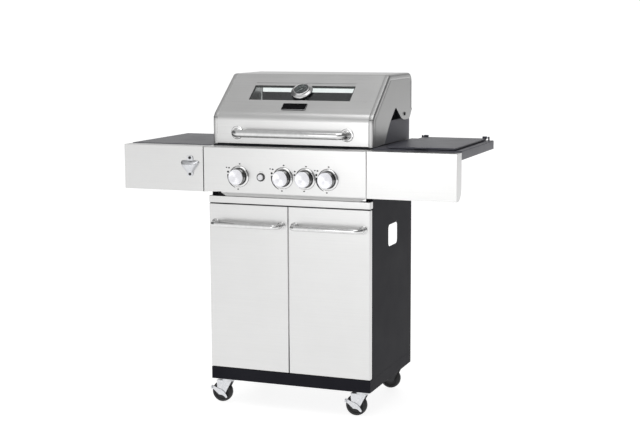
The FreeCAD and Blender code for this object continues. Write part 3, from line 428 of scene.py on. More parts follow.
def slab(outline, place, low, high, bm=None, hole=None):
    """A plate from a 2-D outline. place(across, up, depth) gives the point in space."""
    bm = bm or bmesh.new()
    levels = []
    for depth in (low, high):
        rim = [bm.verts.new(place(across, up, depth)) for across, up in outline]
        inner = [bm.verts.new(place(across, up, depth)) for across, up in hole or ()]
        levels.append((rim, inner))
    for line in range(2):
        first, second = levels[0][line], levels[1][line]
        for number in range(len(first)):
            following = (number + 1) % len(first)
            bm.faces.new((first[number], first[following], second[following], second[number]))
    for rim, inner in levels:
        if not inner:
            bm.faces.new(rim)
            continue
        for number in range(len(rim)):
            following = (number + 1) % len(rim)
            bm.faces.new((rim[number], rim[following], inner[following], inner[number]))
    return bm


def folded_sheet(polygons, radius, segments=4):
    """Sheet metal from flat polygons that share edges: every shared edge becomes a bend."""
    bm = bmesh.new()
    for polygon in polygons:
        bm.faces.new([bm.verts.new(point) for point in polygon])
    bmesh.ops.remove_doubles(bm, verts=bm.verts, dist=1e-5)
    bmesh.ops.recalc_face_normals(bm, faces=bm.faces)
    bends = [
        edge for edge in bm.edges if len(edge.link_faces) == 2 and edge.calc_face_angle() > radians(5)
    ]
    bmesh.ops.bevel(
        bm, geom=bends, offset=radius, offset_type="OFFSET", segments=segments, profile=0.5,
        affect="EDGES", clamp_overlap=True,
    )
    return bm


def pan_polygons(low, high, open_side):
    """The faces of a box between two corners, without the open ones, such as ("+y",)."""
    (x0, y0, z0), (x1, y1, z1) = low, high
    faces = {}
    for side, y in (("-y", y0), ("+y", y1)):
        faces[side] = [(x, y, z) for x, z in rectangle(x0, x1, z0, z1)]
    for side, x in (("-x", x0), ("+x", x1)):
        faces[side] = [(x, y, z) for y, z in rectangle(y0, y1, z0, z1)]
    for side, z in (("-z", z0), ("+z", z1)):
        faces[side] = [(x, y, z) for x, y in rectangle(x0, x1, y0, y1)]
    return [points for side, points in faces.items() if side not in open_side]


def block(first_corner, last_corner, bm=None):
    """A box between two opposite corners, given in either order."""
    bm = bm or bmesh.new()
    low, high = ([pick(pair) for pair in zip(first_corner, last_corner)] for pick in (min, max))
    for polygon in pan_polygons(low, high, ()):
        bm.faces.new([bm.verts.new(point) for point in polygon])
    bmesh.ops.remove_doubles(bm, verts=bm.verts, dist=1e-6)
    return bm


def millimetres(points):
    return [tuple(value * MM for value in point) for point in points]


def side_on(y, z, x):
    """A place function for outlines drawn as seen from the grill's side."""
    return Vector((x, y, z))


# cabinet

SHEET = 1.4 * MM
BEND, WIDE_BEND = 2.6 * MM, 3.2 * MM
TOWARD_COOK, UPWARD = Vector((0, -1, 0)), Vector((0, 0, 1))
DOOR_HINGE_X, DOOR_FACE = 0.292, -0.201
PANEL_FACE, PANEL_HALF = -0.243, 0.3


def steel_sheet(name, node, body, polygons, radius, segments=4):
    """A folded stainless piece that stands in for a CAD node."""
    bm = folded_sheet(polygons, radius, segments)
    finish_piece(name, bm, body, "stainless", (node,), 0, SHEET, TOWARD_COOK)


def make_doors():
    half, depth, height = 7 * MM, 20 * MM, 12 * MM
    for side, hinge_x in (("left", -DOOR_HINGE_X), ("right", DOOR_HINGE_X)):
        node, body = f"door_{side}", f"door_{side[0]}"
        low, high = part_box(node)
        steel_sheet(f"{node}_sheet", node, body, pan_polygons(low, high, ("+y",)), BEND)
        bm = bmesh.new()
        for foot in (low.z + SHEET, high.z - SHEET - height):
            block((hinge_x - half, low.y + SHEET, foot), (hinge_x + half, low.y + depth, foot + height), bm)
        finish_piece(f"{node}_bushes", bm, body, "stainless", (), 0.8 * MM, look="zinc")


def make_frame_bar():
    """A black bar set in the slot between the doors and the trim rail: painted shade in the gap."""
    doors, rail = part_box("door_left"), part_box("front_rail")
    half, gap, recess, depth = 0.297, 0.2 * MM, 1.5 * MM, 12 * MM
    low = (-half, doors[0].y + recess, doors[1].z + gap)
    bm = block(low, (half, doors[0].y + depth, rail[0].z - gap))
    finish_piece("gap_shade_bar", bm, "cart", "black_steel", (), 0.3 * MM)


def make_firebox_lip():
    """The fire box's black front flange, which the lid closes on. It wears a duller black than the fire
    box's enamel, as painted shadow in the gap under the lid.
    """
    half, front, step, rear = 0.2905, -0.18, -0.162, -0.1535
    line = [(front, 0.9322), (rear, 0.9322), (rear, 0.9364), (step, 0.9362), (front, 0.9334)]
    bm = slab(line, side_on, -half, half)
    # The duller black look on this real flange is painted shadow in the gap under the lid.
    finish_piece("firebox_lip", bm, "cart", "enamel", (), 0.3 * MM, look="black_steel")


def make_front_rail():
    low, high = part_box("front_rail")
    steel_sheet("trim_rail", "front_rail", "cart", pan_polygons(low, high, ("+y",)), 1.8 * MM, 3)


def make_control_panel():
    """The panel's face, its top back to the lid, its sides, and a lower fold that slopes back and down."""
    half, face, rear, lid_foot = PANEL_HALF, PANEL_FACE, -0.203, -0.152
    low, high = 0.774, 0.932
    fold_left, fold_right, fold_low = -0.233, 0.262, 0.757
    polygons = [
        [(-half, face, low), (fold_left, face, low), (half, face, low), (half, face, high),
         (-half, face, high)],
        [(-half, face, high), (half, face, high), (half, rear, high), (half, lid_foot, high),
         (-half, lid_foot, high), (-half, rear, high)],
        [(fold_left, face, low), (half, face, low), (fold_right, rear, fold_low),
         (fold_left, rear, fold_low)],
    ]
    for x in (-half, half):
        polygons.append([(x, face, low), (x, rear, low), (x, rear, high), (x, face, high)])
    steel_sheet("control_fascia", "control_panel", "cart", polygons, WIDE_BEND)


def make_shelf_fronts():
    """A face with a top, a narrow lower fold, and side flanges with one large rounded corner."""
    corner, fold_depth = 40 * MM, 15 * MM
    for node in ("shelf_front_left", "shelf_front_right"):
        low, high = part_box(node)
        fold = low.y + fold_depth
        polygons = [
            [(x, low.y, z) for x, z in rectangle(low.x, high.x, low.z, high.z)],
            [(x, y, high.z) for x, y in rectangle(low.x, high.x, low.y, high.y)],
            [(x, y, low.z) for x, y in rectangle(low.x, high.x, low.y, fold)],
        ]
        side = [(low.y, low.z), (fold, low.z), (high.y, low.z), (high.y, high.z), (low.y, high.z)]
        side = rounded(side, {2: corner}, 10, True)
        for x in (low.x, high.x):
            polygons.append([(x, y, z) for y, z in side])
        steel_sheet(f"{node}_fascia", node, "cart", polygons, WIDE_BEND)


def bent_bar(x_low, x_high, wall, bar, z, bend):
    line = [(x_low, wall), (x_low, bar), (x_high, bar), (x_high, wall)]
    return [(x, y, z) for x, y in rounded(line, bend, 12)]


def make_handle(node, body, wall, radius, bend, rosette):
    low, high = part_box(node)
    z = (low.z + high.z) / 2
    x_low, x_high = low.x + rosette, high.x - rosette
    bm = tube(bent_bar(x_low, x_high, wall - MM, low.y + radius, z, bend), radius, 40)
    for x in (x_low, x_high):
        flange = [
            (0, 0), (rosette, 0), (rosette, 2.2 * MM), (rosette - 1.6 * MM, 3.4 * MM),
            (radius + 3 * MM, 3.8 * MM), (radius + 2 * MM, 6.5 * MM), (radius + 0.3 * MM, 7.4 * MM),
            (radius - MM, 7.4 * MM),
        ]
        lathe(rounded(flange, 0.5 * MM, 3), (x, wall, z), TOWARD_COOK, 64, bm)
    finish_piece(f"{node}_bar", bm, body, "polished_tube", (node,))


def make_handles():
    for side in ("left", "right"):
        make_handle(f"door_handle_{side}", f"door_{side[0]}", DOOR_FACE, 9 * MM, 20 * MM, 15 * MM)
    make_handle("lid_handle", "lid", LID_FRONT, 13 * MM, 24 * MM, 23 * MM)


# knobs and igniter

KNOB_HEIGHT = 0.832
KNOB_PLACES = (-0.164, 0.0, 0.082, 0.164)
IGNITER_X = -0.082
PRINT_DEPTH = 0.08 * MM


def at_knob(x):
    """A place function on the control panel's face: depth runs towards the cook."""
    return lambda across, up, depth: Vector((x + across, PANEL_FACE - depth, KNOB_HEIGHT + up))


def make_knobs():
    """Each knob is a bright cap with a shallow dish in its face, on a waist with a skirt whose darker tone
    is painted shade.
    """
    for number, x in enumerate(KNOB_PLACES, 1):
        node = f"knob_{number}"
        low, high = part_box(node)
        depth = high.y - low.y
        centre = (x, high.y, KNOB_HEIGHT)
        shell = millimetres([(25.9, 20.8), (26.6, 22.5), (27.3, 24.2), (27.3, 25.4)])
        rim = [(26.4 * MM, depth), (24.4 * MM, depth), (23.9 * MM, depth - 0.5 * MM)]
        dish = [(18 * MM, depth - 0.9 * MM), (9 * MM, depth - 1.15 * MM), (0, depth - 1.2 * MM)]
        cap = rounded(shell + rim, 0.7 * MM, 3) + [Vector(point) for point in dish]
        bm = lathe(cap, centre, TOWARD_COOK, 96)
        finish_piece(f"knob_cap_{number}", bm, node, "silver_knob", (node,))
        waist = millimetres([
            (4.3, 0), (26.5, 0), (27.5, 1), (27.5, 3.6), (24.8, 7), (24.2, 12), (24.8, 18), (25.9, 20.8),
        ])
        bm = lathe(rounded(waist, 0.7 * MM, 3), centre, TOWARD_COOK, 96)
        # The waist wears the darker knob_waist look: painted shade on the knob's side.
        finish_piece(f"knob_waist_{number}", bm, node, "silver_knob", look="knob_waist")


def make_bezels():
    ring = millimetres([
        (28.4, 0), (28.4, 3.4), (29.6, 4.6), (31.2, 5.0), (33.4, 4.2), (34.6, 3.0), (35.6, 2.4),
        (36.4, 1.4), (36.5, 0),
    ])
    groove = millimetres([(36.4, 0), (36.4, 0.35), (37.2, 0.35), (37.2, 0)])
    washer = millimetres([(4.4, 0.1), (4.4, 1.2), (28.6, 1.2), (28.6, 0.1)])
    bright, dark = bmesh.new(), bmesh.new()
    for x in KNOB_PLACES:
        centre = (x, PANEL_FACE, KNOB_HEIGHT)
        lathe(rounded(ring, 0.35 * MM, 3), centre, TOWARD_COOK, 96, bright)
        lathe(groove, centre, TOWARD_COOK, 96, dark)
        lathe(washer, centre, TOWARD_COOK, 64, dark)
    finish_piece("knob_bezel_rings", bright, "cart", "polished_tube", ("knob_bezels",), look="chrome")
    finish_piece("knob_bezel_shadows", dark, "cart", "black_bolt")


def arc_mark(place, radius, start, end, start_width, end_width, bm, steps=40):
    """A printed arc that gets thinner along its length."""
    rims = ([], [])
    for step in range(steps + 1):
        share = step / steps
        angle = radians(start + (end - start) * share)
        width = start_width + (end_width - start_width) * share
        for rim, reach in zip(rims, (radius - width / 2, radius + width / 2)):
            rim.append((reach * cos(angle), reach * sin(angle)))
    slab(rims[0] + rims[1][::-1], place, 0, PRINT_DEPTH, bm)


def dot_mark(place, across, up, radius, bm, stretch=1.0):
    """A printed dot, stretched sideways."""
    outline = []
    turns = 20
    for turn in range(turns):
        angle = 2 * pi * turn / turns
        outline.append((across + radius * stretch * cos(angle), up + radius * sin(angle)))
    slab(outline, place, 0, PRINT_DEPTH, bm)


def make_prints():
    """Settings printed round the knobs: a tapering arc and small marks (across, up, radius, stretch)."""
    bm = bmesh.new()
    burner_marks = (
        (-41.5, 15, 3.8, 1), (-47, 30, 2.0, 1.4), (-37.5, 29, 2.5, 1.4), (3, 43.5, 2.2, 1.5),
        (-4, -44.3, 2.2, 1.5),
    )
    side_marks = ((-39.5, 12, 3.4, 1), (-38, 24, 2.4, 1.4), (3, 42, 2.2, 1.5), (-4.4, -42.5, 2.2, 1.5))
    for number, x in enumerate(KNOB_PLACES, 1):
        place = at_knob(x)
        with_arc = number != 3
        if with_arc:
            arc_mark(place, 41.5 * MM, 171, 248, 6.6 * MM, 1.6 * MM, bm)
        for across, up, radius, stretch in burner_marks if with_arc else side_marks:
            dot_mark(place, across * MM, up * MM, radius * MM, bm, stretch)
    for across, up in ((-5, 18.5), (0, 19.5), (5, 18.5)):
        dot_mark(at_knob(IGNITER_X), across * MM, up * MM, 0.9 * MM, bm)
    finish_piece("panel_prints", bm, "cart", "module_plastic", look="print")


def make_igniter():
    low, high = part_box("igniter_button")
    length = high.y - low.y
    centre = (IGNITER_X, high.y, KNOB_HEIGHT)
    button = [(0, 0), (9.9 * MM, 0), (9.9 * MM, length - 1.6 * MM), (8.6 * MM, length - 0.5 * MM),
              (5 * MM, length - 0.9 * MM), (0, length - 1.3 * MM)]
    bm = lathe(rounded(button, 0.6 * MM, 4), centre, TOWARD_COOK, 64)
    finish_piece("igniter_cap", bm, "igniter", "button_plastic", ("igniter_button",))
    ring = millimetres([(10.2, -8), (10.2, 0.8), (10.7, 1.2), (11.6, 1.0), (12.2, 0.5), (12.2, 0)])
    bm = lathe(rounded(ring, 0.4 * MM, 3), (IGNITER_X, PANEL_FACE, KNOB_HEIGHT), TOWARD_COOK, 64)
    finish_piece("igniter_collar", bm, "cart", "polished_tube", look="button_plastic")


# lid

SLOPE = radians(37.8)
SLOPE_UP = Vector((0, cos(SLOPE), sin(SLOPE)))
SLOPE_OUT = Vector((0, -sin(SLOPE), cos(SLOPE)))
SLOPE_LENGTH = 0.228
LID_FRONT, LID_BACK, LID_FOOT, BEND_HEIGHT = -0.164, 0.275, 0.937, 1.0365
LID_REAR_EDGE, LID_END_REAR_EDGE = 1.117, 1.046
LID_SKIN_HALF, LID_HALF = 0.2806, 0.2985
LID_BENDS = (42 * MM, 25 * MM, 35 * MM)
CLEAR_OF_HOUSING = 0.2955
WINDOW_HALF, WINDOW_LOW, WINDOW_HIGH = 0.19, 0.082, 0.1785
NOTCH = [
    (LID_FRONT + 0.03, LID_FOOT), (-0.043, 0.941), (0.012, 1.007), (0.081, 1.061), (0.147, 1.018),
    (0.181, 1.011), (0.24, 1.011), (0.275, 1.046),
]
NOTCH_LINE = rounded(NOTCH, {1: 0.025, 2: 0.02, 3: 0.015, 4: 0.015, 5: 0.02, 6: 0.02}, 8)[1:]


def on_slope(across, along, proud):
    return Vector((across, LID_FRONT, BEND_HEIGHT)) + SLOPE_UP * along + SLOPE_OUT * proud


def lid_line(inset, rear_low):
    """The lid's cross-section as corners and their radii, set in from the outside."""
    crest = on_slope(0, SLOPE_LENGTH, 0)
    shift = inset * (1 - sin(SLOPE)) / cos(SLOPE)
    crest_shift = inset * (1 - cos(SLOPE)) / sin(SLOPE)
    corners = [
        (LID_FRONT + inset, LID_FOOT), (LID_FRONT + inset, BEND_HEIGHT - shift),
        (crest.y + crest_shift, crest.z - inset), (LID_BACK - inset, crest.z - inset),
        (LID_BACK - inset, rear_low),
    ]
    least = 3 * MM
    return corners, {number: max(bend - inset, least) for number, bend in enumerate(LID_BENDS, 1)}


def make_lid_skin():
    """The folded skin, with a small hem at its foot and the window's hole in its slope."""
    line = rounded(*lid_line(0, LID_REAR_EDGE), 10)
    hem_depth, hem_height = 9 * MM, LID_FOOT + 0.8 * MM
    foot = rounded([(LID_FRONT + hem_depth, hem_height), (LID_FRONT, hem_height), line[1]], 2 * MM, 4)
    line = foot[:-1] + line[1:]
    stations = [on_slope(0, along, 0).yz for along in (WINDOW_LOW, WINDOW_HIGH)]
    crossing = next(
        number for number in range(len(line) - 1) if line[number].y < stations[0].y < line[number + 1].y
    )
    line[crossing + 1:crossing + 1] = stations
    columns = (-LID_SKIN_HALF, -WINDOW_HALF, WINDOW_HALF, LID_SKIN_HALF)
    bm = bmesh.new()
    grid = [[bm.verts.new((x, point.x, point.y)) for point in line] for x in columns]
    for column in range(len(columns) - 1):
        for row in range(len(line) - 1):
            if column == 1 and row == crossing + 1:
                continue
            bm.faces.new((
                grid[column][row], grid[column + 1][row], grid[column + 1][row + 1], grid[column][row + 1]
            ))
    finish_piece("lid_shell", bm, "lid", "stainless", ("lid_skin",), 0, SHEET, SLOPE_OUT, look="steel_lid")


def make_lid_ends():
    """Pressed end caps: a soft shoulder, an embossed line inside it, and a flat face down to the notch.

    Each ring is how far out it lies, and how far in from the lid's outline in millimetres.
    """
    rings = ((0.2812, 0.0), (0.2905, 0.25), (0.2942, 1.1), (0.2968, 2.9), (0.2981, 5.4), (0.2985, 8.6),
             (0.2985, 17.0), (0.2975, 18.2), (0.2975, 21.0), (0.2985, 22.2))
    for name, side in (("left", -1), ("right", 1)):
        bm = bmesh.new()
        rows = []
        for x, inset in rings:
            rear_low = LID_REAR_EDGE if x < CLEAR_OF_HOUSING else LID_END_REAR_EDGE
            line = rounded(*lid_line(inset * MM, rear_low), 10)
            rows.append([bm.verts.new((side * x, y, z)) for y, z in line])
        loft(bm, rows)
        bm.faces.new(rows[-1] + [bm.verts.new((side * LID_HALF, y, z)) for y, z in NOTCH_LINE[::-1]])
        bmesh.ops.remove_doubles(bm, verts=bm.verts, dist=1e-5)
        # The ends wear the darker steel_end look: the upright grain is real, the darker tone is painted
        # shade on the lid's sides.
        finish_piece(
            f"lid_end_{name}", bm, "lid", "stainless", (f"lid_side_{name}",), 0, 2 * MM,
            Vector((side, 0, 0)), look="steel_end",
        )


def make_lid_details():
    """The end caps' rims, the front corners' seam slots, and the frame and strips behind the glass. The
    frame is black: its edges that show round the window are painted shadow lines.
    """
    bright, dark, strips = bmesh.new(), bmesh.new(), bmesh.new()
    rim_x, rim_back = LID_HALF - 0.8 * MM, LID_BACK - 1.2 * MM
    for side in (-1, 1):
        tube([(side * rim_x, min(y, rim_back), z) for y, z in NOTCH_LINE], 1.1 * MM, 10, bright)
        slot_foot = (side * 0.2822, LID_FRONT + 1.7 * MM, 1.0284)
        block(slot_foot, (side * 0.2972, LID_FRONT + 4 * MM, 1.03), dark)
    # The rims wear the darker steel_end look too: painted shade.
    finish_piece("lid_end_rims", bright, "lid", "stainless", look="steel_end")
    # A black frame behind the glass: its edges that show round the window are painted shadow lines.
    outer = rectangle(-0.199, 0.199, 0.073, 0.1875)
    inner = rectangle(-0.1855, 0.1855, 0.085, 0.157)
    slab(outer, on_slope, -7.4 * MM, -5.7 * MM, dark, inner)
    finish_piece("window_shade_frame", dark, "lid", "black_bolt")
    for strip_low, strip_high in ((0.081, 0.086), (0.1645, 0.1795)):
        slab(rectangle(-0.191, 0.191, strip_low, strip_high), on_slope, -1.38 * MM, -MM, strips)
    finish_piece("window_clamp_strips", strips, "lid", "stainless", look="steel_lid")


DIAL_ALONG = 0.13
DIAL_FACE = 12.95 * MM
DIAL_START, DIAL_SWEEP, DIAL_MARKS, MARKS_TO_MAJOR = 225, 270, 30, 5
DIAL_NUMBERS, NUMBER_REACH = range(50, 400, 50), 13.4 * MM
NEEDLE_ANGLE = 222


def heading_and_side(degrees):
    """A direction in the dial's plane, and the one square to it."""
    angle = radians(degrees)
    heading = Vector((cos(angle), sin(angle)))
    return heading, Vector((-heading.y, heading.x))


def make_thermometer():
    """A low conical bezel with its probe, a dial with marks, numbers and a needle, and a lens over them."""
    centre = on_slope(0, DIAL_ALONG, 0)
    bezel = millimetres([
        (7.4, -1.5), (33.5, -1.5), (38.4, 2.2), (39, 3.4), (39, 6.4), (38.2, 8.0), (31.5, 12.2),
        (28.2, 15.2), (26.6, 15.8), (25.4, 14.9), (24.9, 12.6),
    ])
    bm = lathe(rounded(bezel, 0.9 * MM, 4), centre, SLOPE_OUT, 96)
    probe = millimetres([(7.4, -1.6), (7.4, -13.5), (3.1, -13.5), (3.0, -60), (2.2, -61.8), (0, -62)])
    lathe(probe, centre, SLOPE_OUT, 32, bm)
    finish_piece("thermometer_bezel", bm, "lid", "polished_tube", ("thermometer",), look="satin_chrome")
    bm = lathe(millimetres([(0, 12.9), (24.7, 12.9), (25.0, 12.6), (25.0, 12)]), centre, SLOPE_OUT, 64)
    finish_piece("thermometer_dial", bm, "lid", "module_plastic", look="dial")

    def on_dial(across, up, depth):
        return centre + Vector((across, 0, 0)) + SLOPE_UP * up + SLOPE_OUT * (DIAL_FACE + depth)

    bm = bmesh.new()
    for number in range(DIAL_MARKS + 1):
        heading, side = heading_and_side(DIAL_START - DIAL_SWEEP * number / DIAL_MARKS)
        major = number % MARKS_TO_MAJOR == 0
        outer, inner, half = 23.2 * MM, (19.4 if major else 21.2) * MM, (0.42 if major else 0.2) * MM
        corners = [heading * inner - side * half, heading * outer - side * half,
                   heading * outer + side * half, heading * inner + side * half]
        slab(corners, on_dial, 0, 0.1 * MM, bm)
    for low, high, radius, width in ((225, 120, 17.6, 0.5), (110, 20, 17.6, 1.5), (10, -45, 17.6, 0.5)):
        arc_mark(on_dial, radius * MM, low, high, width * MM, width * MM, bm, 48)
    for number, shown in enumerate(DIAL_NUMBERS):
        angle = radians(DIAL_START - DIAL_SWEEP * number / (len(DIAL_NUMBERS) - 1))
        across, up = NUMBER_REACH * cos(angle), NUMBER_REACH * sin(angle)
        add_number(str(shown), on_dial, across, up, 4 * MM, bm)
    finish_piece("thermometer_scale", bm, "lid", "module_plastic", look="dial_marks")
    bm = bmesh.new()
    needle, side = heading_and_side(NEEDLE_ANGLE)
    outline = [side * 0.9 * MM - needle * 5 * MM, side * -0.9 * MM - needle * 5 * MM,
               side * -0.3 * MM + needle * 19 * MM, side * 0.3 * MM + needle * 19 * MM]
    slab(outline, on_dial, 0.5 * MM, 0.9 * MM, bm)
    hub = millimetres([(0, 14.2), (1.6, 14.1), (2.2, 13.7), (2.2, 12.8)])
    lathe(hub, centre, SLOPE_OUT, 32, bm)
    finish_piece("thermometer_needle", bm, "lid", "module_plastic", look="needle")
    lens = millimetres([(0, 15.4), (12, 15.3), (24.9, 14.9), (24.9, 14.4), (12, 14.7), (0, 14.8)])
    finish_piece("thermometer_lens", lathe(lens, centre, SLOPE_OUT, 64), "lid", "glass", look="lens")


def add_number(label, place, across, up, height, bm):
    """A number on the dial, as thin raised shapes."""
    curve = bpy.data.curves.new("number", "FONT")
    curve.body = label
    curve.size = height
    curve.align_x, curve.align_y = "CENTER", "CENTER"
    curve.resolution_u = 3
    holder = add_object("number", curve)
    bpy.context.view_layer.update()
    flat = holder.evaluated_get(bpy.context.evaluated_depsgraph_get()).to_mesh()
    verts = [bm.verts.new(place(across + v.co.x, up + v.co.y, 0.08 * MM)) for v in flat.vertices]
    for polygon in flat.polygons:
        bm.faces.new([verts[index] for index in polygon.vertices])
    bpy.data.objects.remove(holder)
    bpy.data.curves.remove(curve)


def make_badge():
    left, right, low, high = -0.0505, 0.0405, 0.0335, 0.0685
    plate = slab(rounded(rectangle(left, right, low, high), 5 * MM, 6, True), on_slope, 0, 2.1 * MM)
    finish_piece("badge_face", plate, "lid", "badge_black", ("badge_plate",), 0.5 * MM)
    inset = MM
    line = rectangle(left + inset, right - inset, low + inset, high - inset)
    path = [on_slope(x, along, 2 * MM) for x, along in rounded(line, 4 * MM, 6, True)]
    border = tube(path, 0.5 * MM, 10, None, True)
    finish_piece("badge_border", border, "lid", "polished_tube", look="chrome")


HOUSING_HALF = 0.292
LID_PIVOT = (0.183, 1.031)


def make_hinge_bolts():
    bm = bmesh.new()
    shank, head = [(0, 0), (4, 0), (4, 6.8)], [(6.6, 6.8), (6.6, 8.4), (5.6, 9.9), (3, 10.6), (0, 10.8)]
    profile = rounded(millimetres(shank + head), 0.3 * MM, 3)
    for side in (-1, 1):
        lathe(profile, (side * HOUSING_HALF, *LID_PIVOT), (side, 0, 0), 48, bm)
    finish_piece("lid_pivot_bolts", bm, "cart", "black_bolt", ("lid_hinge_bolts",))


def make_housing_rivets():
    """Three rivets up the front edge of each side of the rear housing."""
    bm = bmesh.new()
    start, end = Vector((-0.078, 0.948)), Vector((-0.044, 1.004))
    dome = millimetres([(3.2, 0), (3.1, 0.6), (2.3, 1.3), (1.2, 1.6), (0, 1.7)])
    for side in (-1, 1):
        for share in (0.05, 0.5, 0.95):
            y, z = start.lerp(end, share)
            lathe(dome, (side * HOUSING_HALF, y, z), (side, 0, 0), 24, bm)
    finish_piece("housing_rivets", bm, "cart", "dark_zinc")


# shelf fittings

OPENER_X = -0.351
WELL_LOW, WELL_HIGH, WELL_FLOOR = (0.372, -0.11), (0.572, 0.19), 0.9
ARM_SPANS = ((0.346, 0.3503), (0.5927, 0.597))
KNUCKLE_SPANS = ((0.355, 0.371), (0.572, 0.588))
COVER_HINGE = (0.246, 0.947)


def at_opener(across, up, depth):
    return Vector((OPENER_X + across, PANEL_FACE - depth, up))


def make_opener():
    """A cast hood, flared towards its top, on a tongue-shaped base plate.

    Each section is its height, and its half width and depth in millimetres.
    """
    bm = bmesh.new()
    sections = ((0.839, 11, 9), (0.845, 14, 14), (0.852, 19, 18), (0.86, 25, 21), (0.868, 31, 21.5),
                (0.874, 34, 17), (0.879, 33, 10), (0.882, 30, 2))
    rows = []
    steps = 20
    for z, half, depth in sections:
        row = []
        for step in range(steps + 1):
            angle = pi * step / steps
            across = -copysign(abs(cos(angle)) ** 0.75, cos(angle)) * half * MM
            row.append(bm.verts.new(at_opener(across, z, sin(angle) ** 0.7 * depth * MM)))
        rows.append(row)
    loft(bm, rows)
    finish_piece(
        "opener_hood", bm, "cart", "zinc", ("bottle_opener",), 0.8 * MM, 3 * MM, TOWARD_COOK,
        look="cast_silver",
    )
    plate = rectangle(-12 * MM, 12 * MM, 0.826, 0.9)
    bm = slab(rounded(plate, 10 * MM, 8, True), at_opener, 0, 3.6 * MM)
    half, tooth_low, tooth_high = 10 * MM, 0.8735, 0.877
    block(at_opener(-half, tooth_low, 12 * MM), at_opener(half, tooth_high, 3 * MM), bm)
    finish_piece("opener_base", bm, "cart", "zinc", (), MM, look="cast_silver")


def make_screws():
    bm = bmesh.new()
    head = millimetres([(5.2, 0), (5.3, 1.0), (4.4, 2.3), (2.8, 2.8), (2.2, 2.8), (2.0, 1.4), (0, 1.2)])
    for z in (0.834, 0.8915):
        lathe(rounded(head, 0.2 * MM, 2), at_opener(0, z, 3.5 * MM), TOWARD_COOK, 32, bm)
    finish_piece("opener_screws", bm, "cart", "black_bolt", ("screws",))


def make_shelf_trays():
    """Folded trays: the right one has the side burner's well and the arms that hold the cover's pins."""
    for node in ("shelf_left", "shelf_right"):
        side = -1 if node == "shelf_left" else 1
        low_x, high_x = sorted((side * 0.3015, side * 0.611))
        front, rear, low = -0.185, 0.256, 0.907
        high = 0.9338 if side < 0 else 0.937
        polygons = pan_polygons((low_x, front, low), (high_x, rear, high), ("-z", "+z"))
        if side < 0:
            polygons.append([(x, y, high) for x, y in rectangle(low_x, high_x, front, rear)])
        else:
            polygons += framed_top((low_x, front), (high_x, rear), WELL_LOW, WELL_HIGH, high)
            polygons += pan_polygons((*WELL_LOW, WELL_FLOOR), (*WELL_HIGH, high), ("+z",))
        tray = folded_sheet(polygons, 3 * MM)
        finish_piece(f"{node}_tray", tray, "cart", "shelf_paint", (node,), 0, SHEET, UPWARD)
        bm = bmesh.new()
        for y in (-0.12, 0.18):
            block((side * 0.2925, y, 0.91), (side * 0.3022, y + 0.03, 0.927), bm)
        if side > 0:
            arm = rounded(rectangle(0.2415, 0.2505, high - MM, 0.9505), {2: 4 * MM, 3: 4 * MM}, 6, True)
            for x_low, x_high in ARM_SPANS:
                slab(arm, side_on, x_low, x_high, bm)
        finish_piece(f"{node}_brackets", bm, "cart", "shelf_paint", (), 0.8 * MM)


def framed_top(low, high, hole_low, hole_high, z):
    """Four faces round a hole in a level sheet."""
    outer = rectangle(low[0], high[0], low[1], high[1])
    inner = rectangle(hole_low[0], hole_high[0], hole_low[1], hole_high[1])
    faces = []
    for number in range(4):
        following = (number + 1) % 4
        corners = (outer[number], outer[following], inner[following], inner[number])
        faces.append([(*corner, z) for corner in corners])
    return faces


def make_burner_cover():
    low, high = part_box("side_burner_cover")
    front, rear, foot, top = low.y + 7 * MM, 0.238, 0.939, 0.945
    bm = folded_sheet(pan_polygons((low.x, front, foot), (high.x, rear, top), ("-z",)), 2.4 * MM, 3)
    finish_piece("cover_pan", bm, "burner_cover", "shelf_paint", ("side_burner_cover",), 0, SHEET, UPWARD)
    lip = [(0.448, front + 2 * MM), (0.449, low.y + 1.5 * MM), (0.4515, low.y), (0.4925, low.y),
           (0.495, low.y + 1.5 * MM), (0.496, front + 2 * MM)]
    bm = slab(lip, lambda x, y, z: Vector((x, y, z)), 0.9415, 0.9448)
    finish_piece("cover_lip", bm, "burner_cover", "shelf_paint", (), 0.8 * MM)
    bm = bmesh.new()
    ring = millimetres([(3.05, 0), (4.4, 0), (4.4, 16), (3.05, 16), (3.05, 0)])
    for x_low, x_high in KNUCKLE_SPANS:
        lathe(rounded(ring, 0.5 * MM, 3), (x_low, *COVER_HINGE), (1, 0, 0), 32, bm)
        block((x_low, 0.234, 0.9425), (x_high, 0.2425, 0.9449), bm)
    finish_piece("cover_knuckles", bm, "burner_cover", "shelf_paint")


# casters

def wheel_centre(number):
    low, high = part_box(f"caster_wheel_{number}")
    return (low + high) / 2


def make_wheels():
    half_line = [
        (4.05, 14.2), (10.2, 14.2), (11.2, 12.2), (12.5, 9.6), (25.5, 9.6), (27.5, 12.5), (32.6, 12.5),
        (36.4, 9.8), (37.5, 4),
    ]
    profile = millimetres(half_line + [(radius, -out) for radius, out in half_line[::-1]])
    for number in range(1, 5):
        bm = lathe(rounded(profile, 0.8 * MM, 3), wheel_centre(number), (0, 1, 0), 72)
        finish_piece(f"wheel_{number}", bm, f"wheel_{number}", "wheel_rubber", (f"caster_wheel_{number}",))


def make_brake_levers():
    """A swept band across each front wheel, with a toe tab at its end."""
    top = [(-35, 23), (-24, 19.5), (-12, 14), (0, 10.5), (11, 4), (19, -5), (25, -16)]
    bottom = [(20, -20.5), (12, -14), (3, -10.5), (-6, -9), (-16, -2.5), (-26, 6), (-36, 12)]
    band = smooth_line(millimetres(top + bottom), 5)
    tab = rounded(millimetres([(-37, 11), (-31, 11.5), (-31, 20), (-36, 21.5)]), MM, 3, True)
    thickness, tab_reach = 2.2 * MM, 9.5 * MM
    for number in (1, 2):
        node = f"brake_lever_{number}"
        rear_face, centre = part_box(node)[1].y, wheel_centre(number)

        def place(across, up, depth):
            return Vector((centre.x + across, rear_face - depth, centre.z + up))

        bm = slab(band, place, 0, thickness)
        slab(tab, place, thickness, tab_reach, bm)
        finish_piece(f"brake_band_{number}", bm, f"brake_{number}", "zinc", (node,), 0.6 * MM)


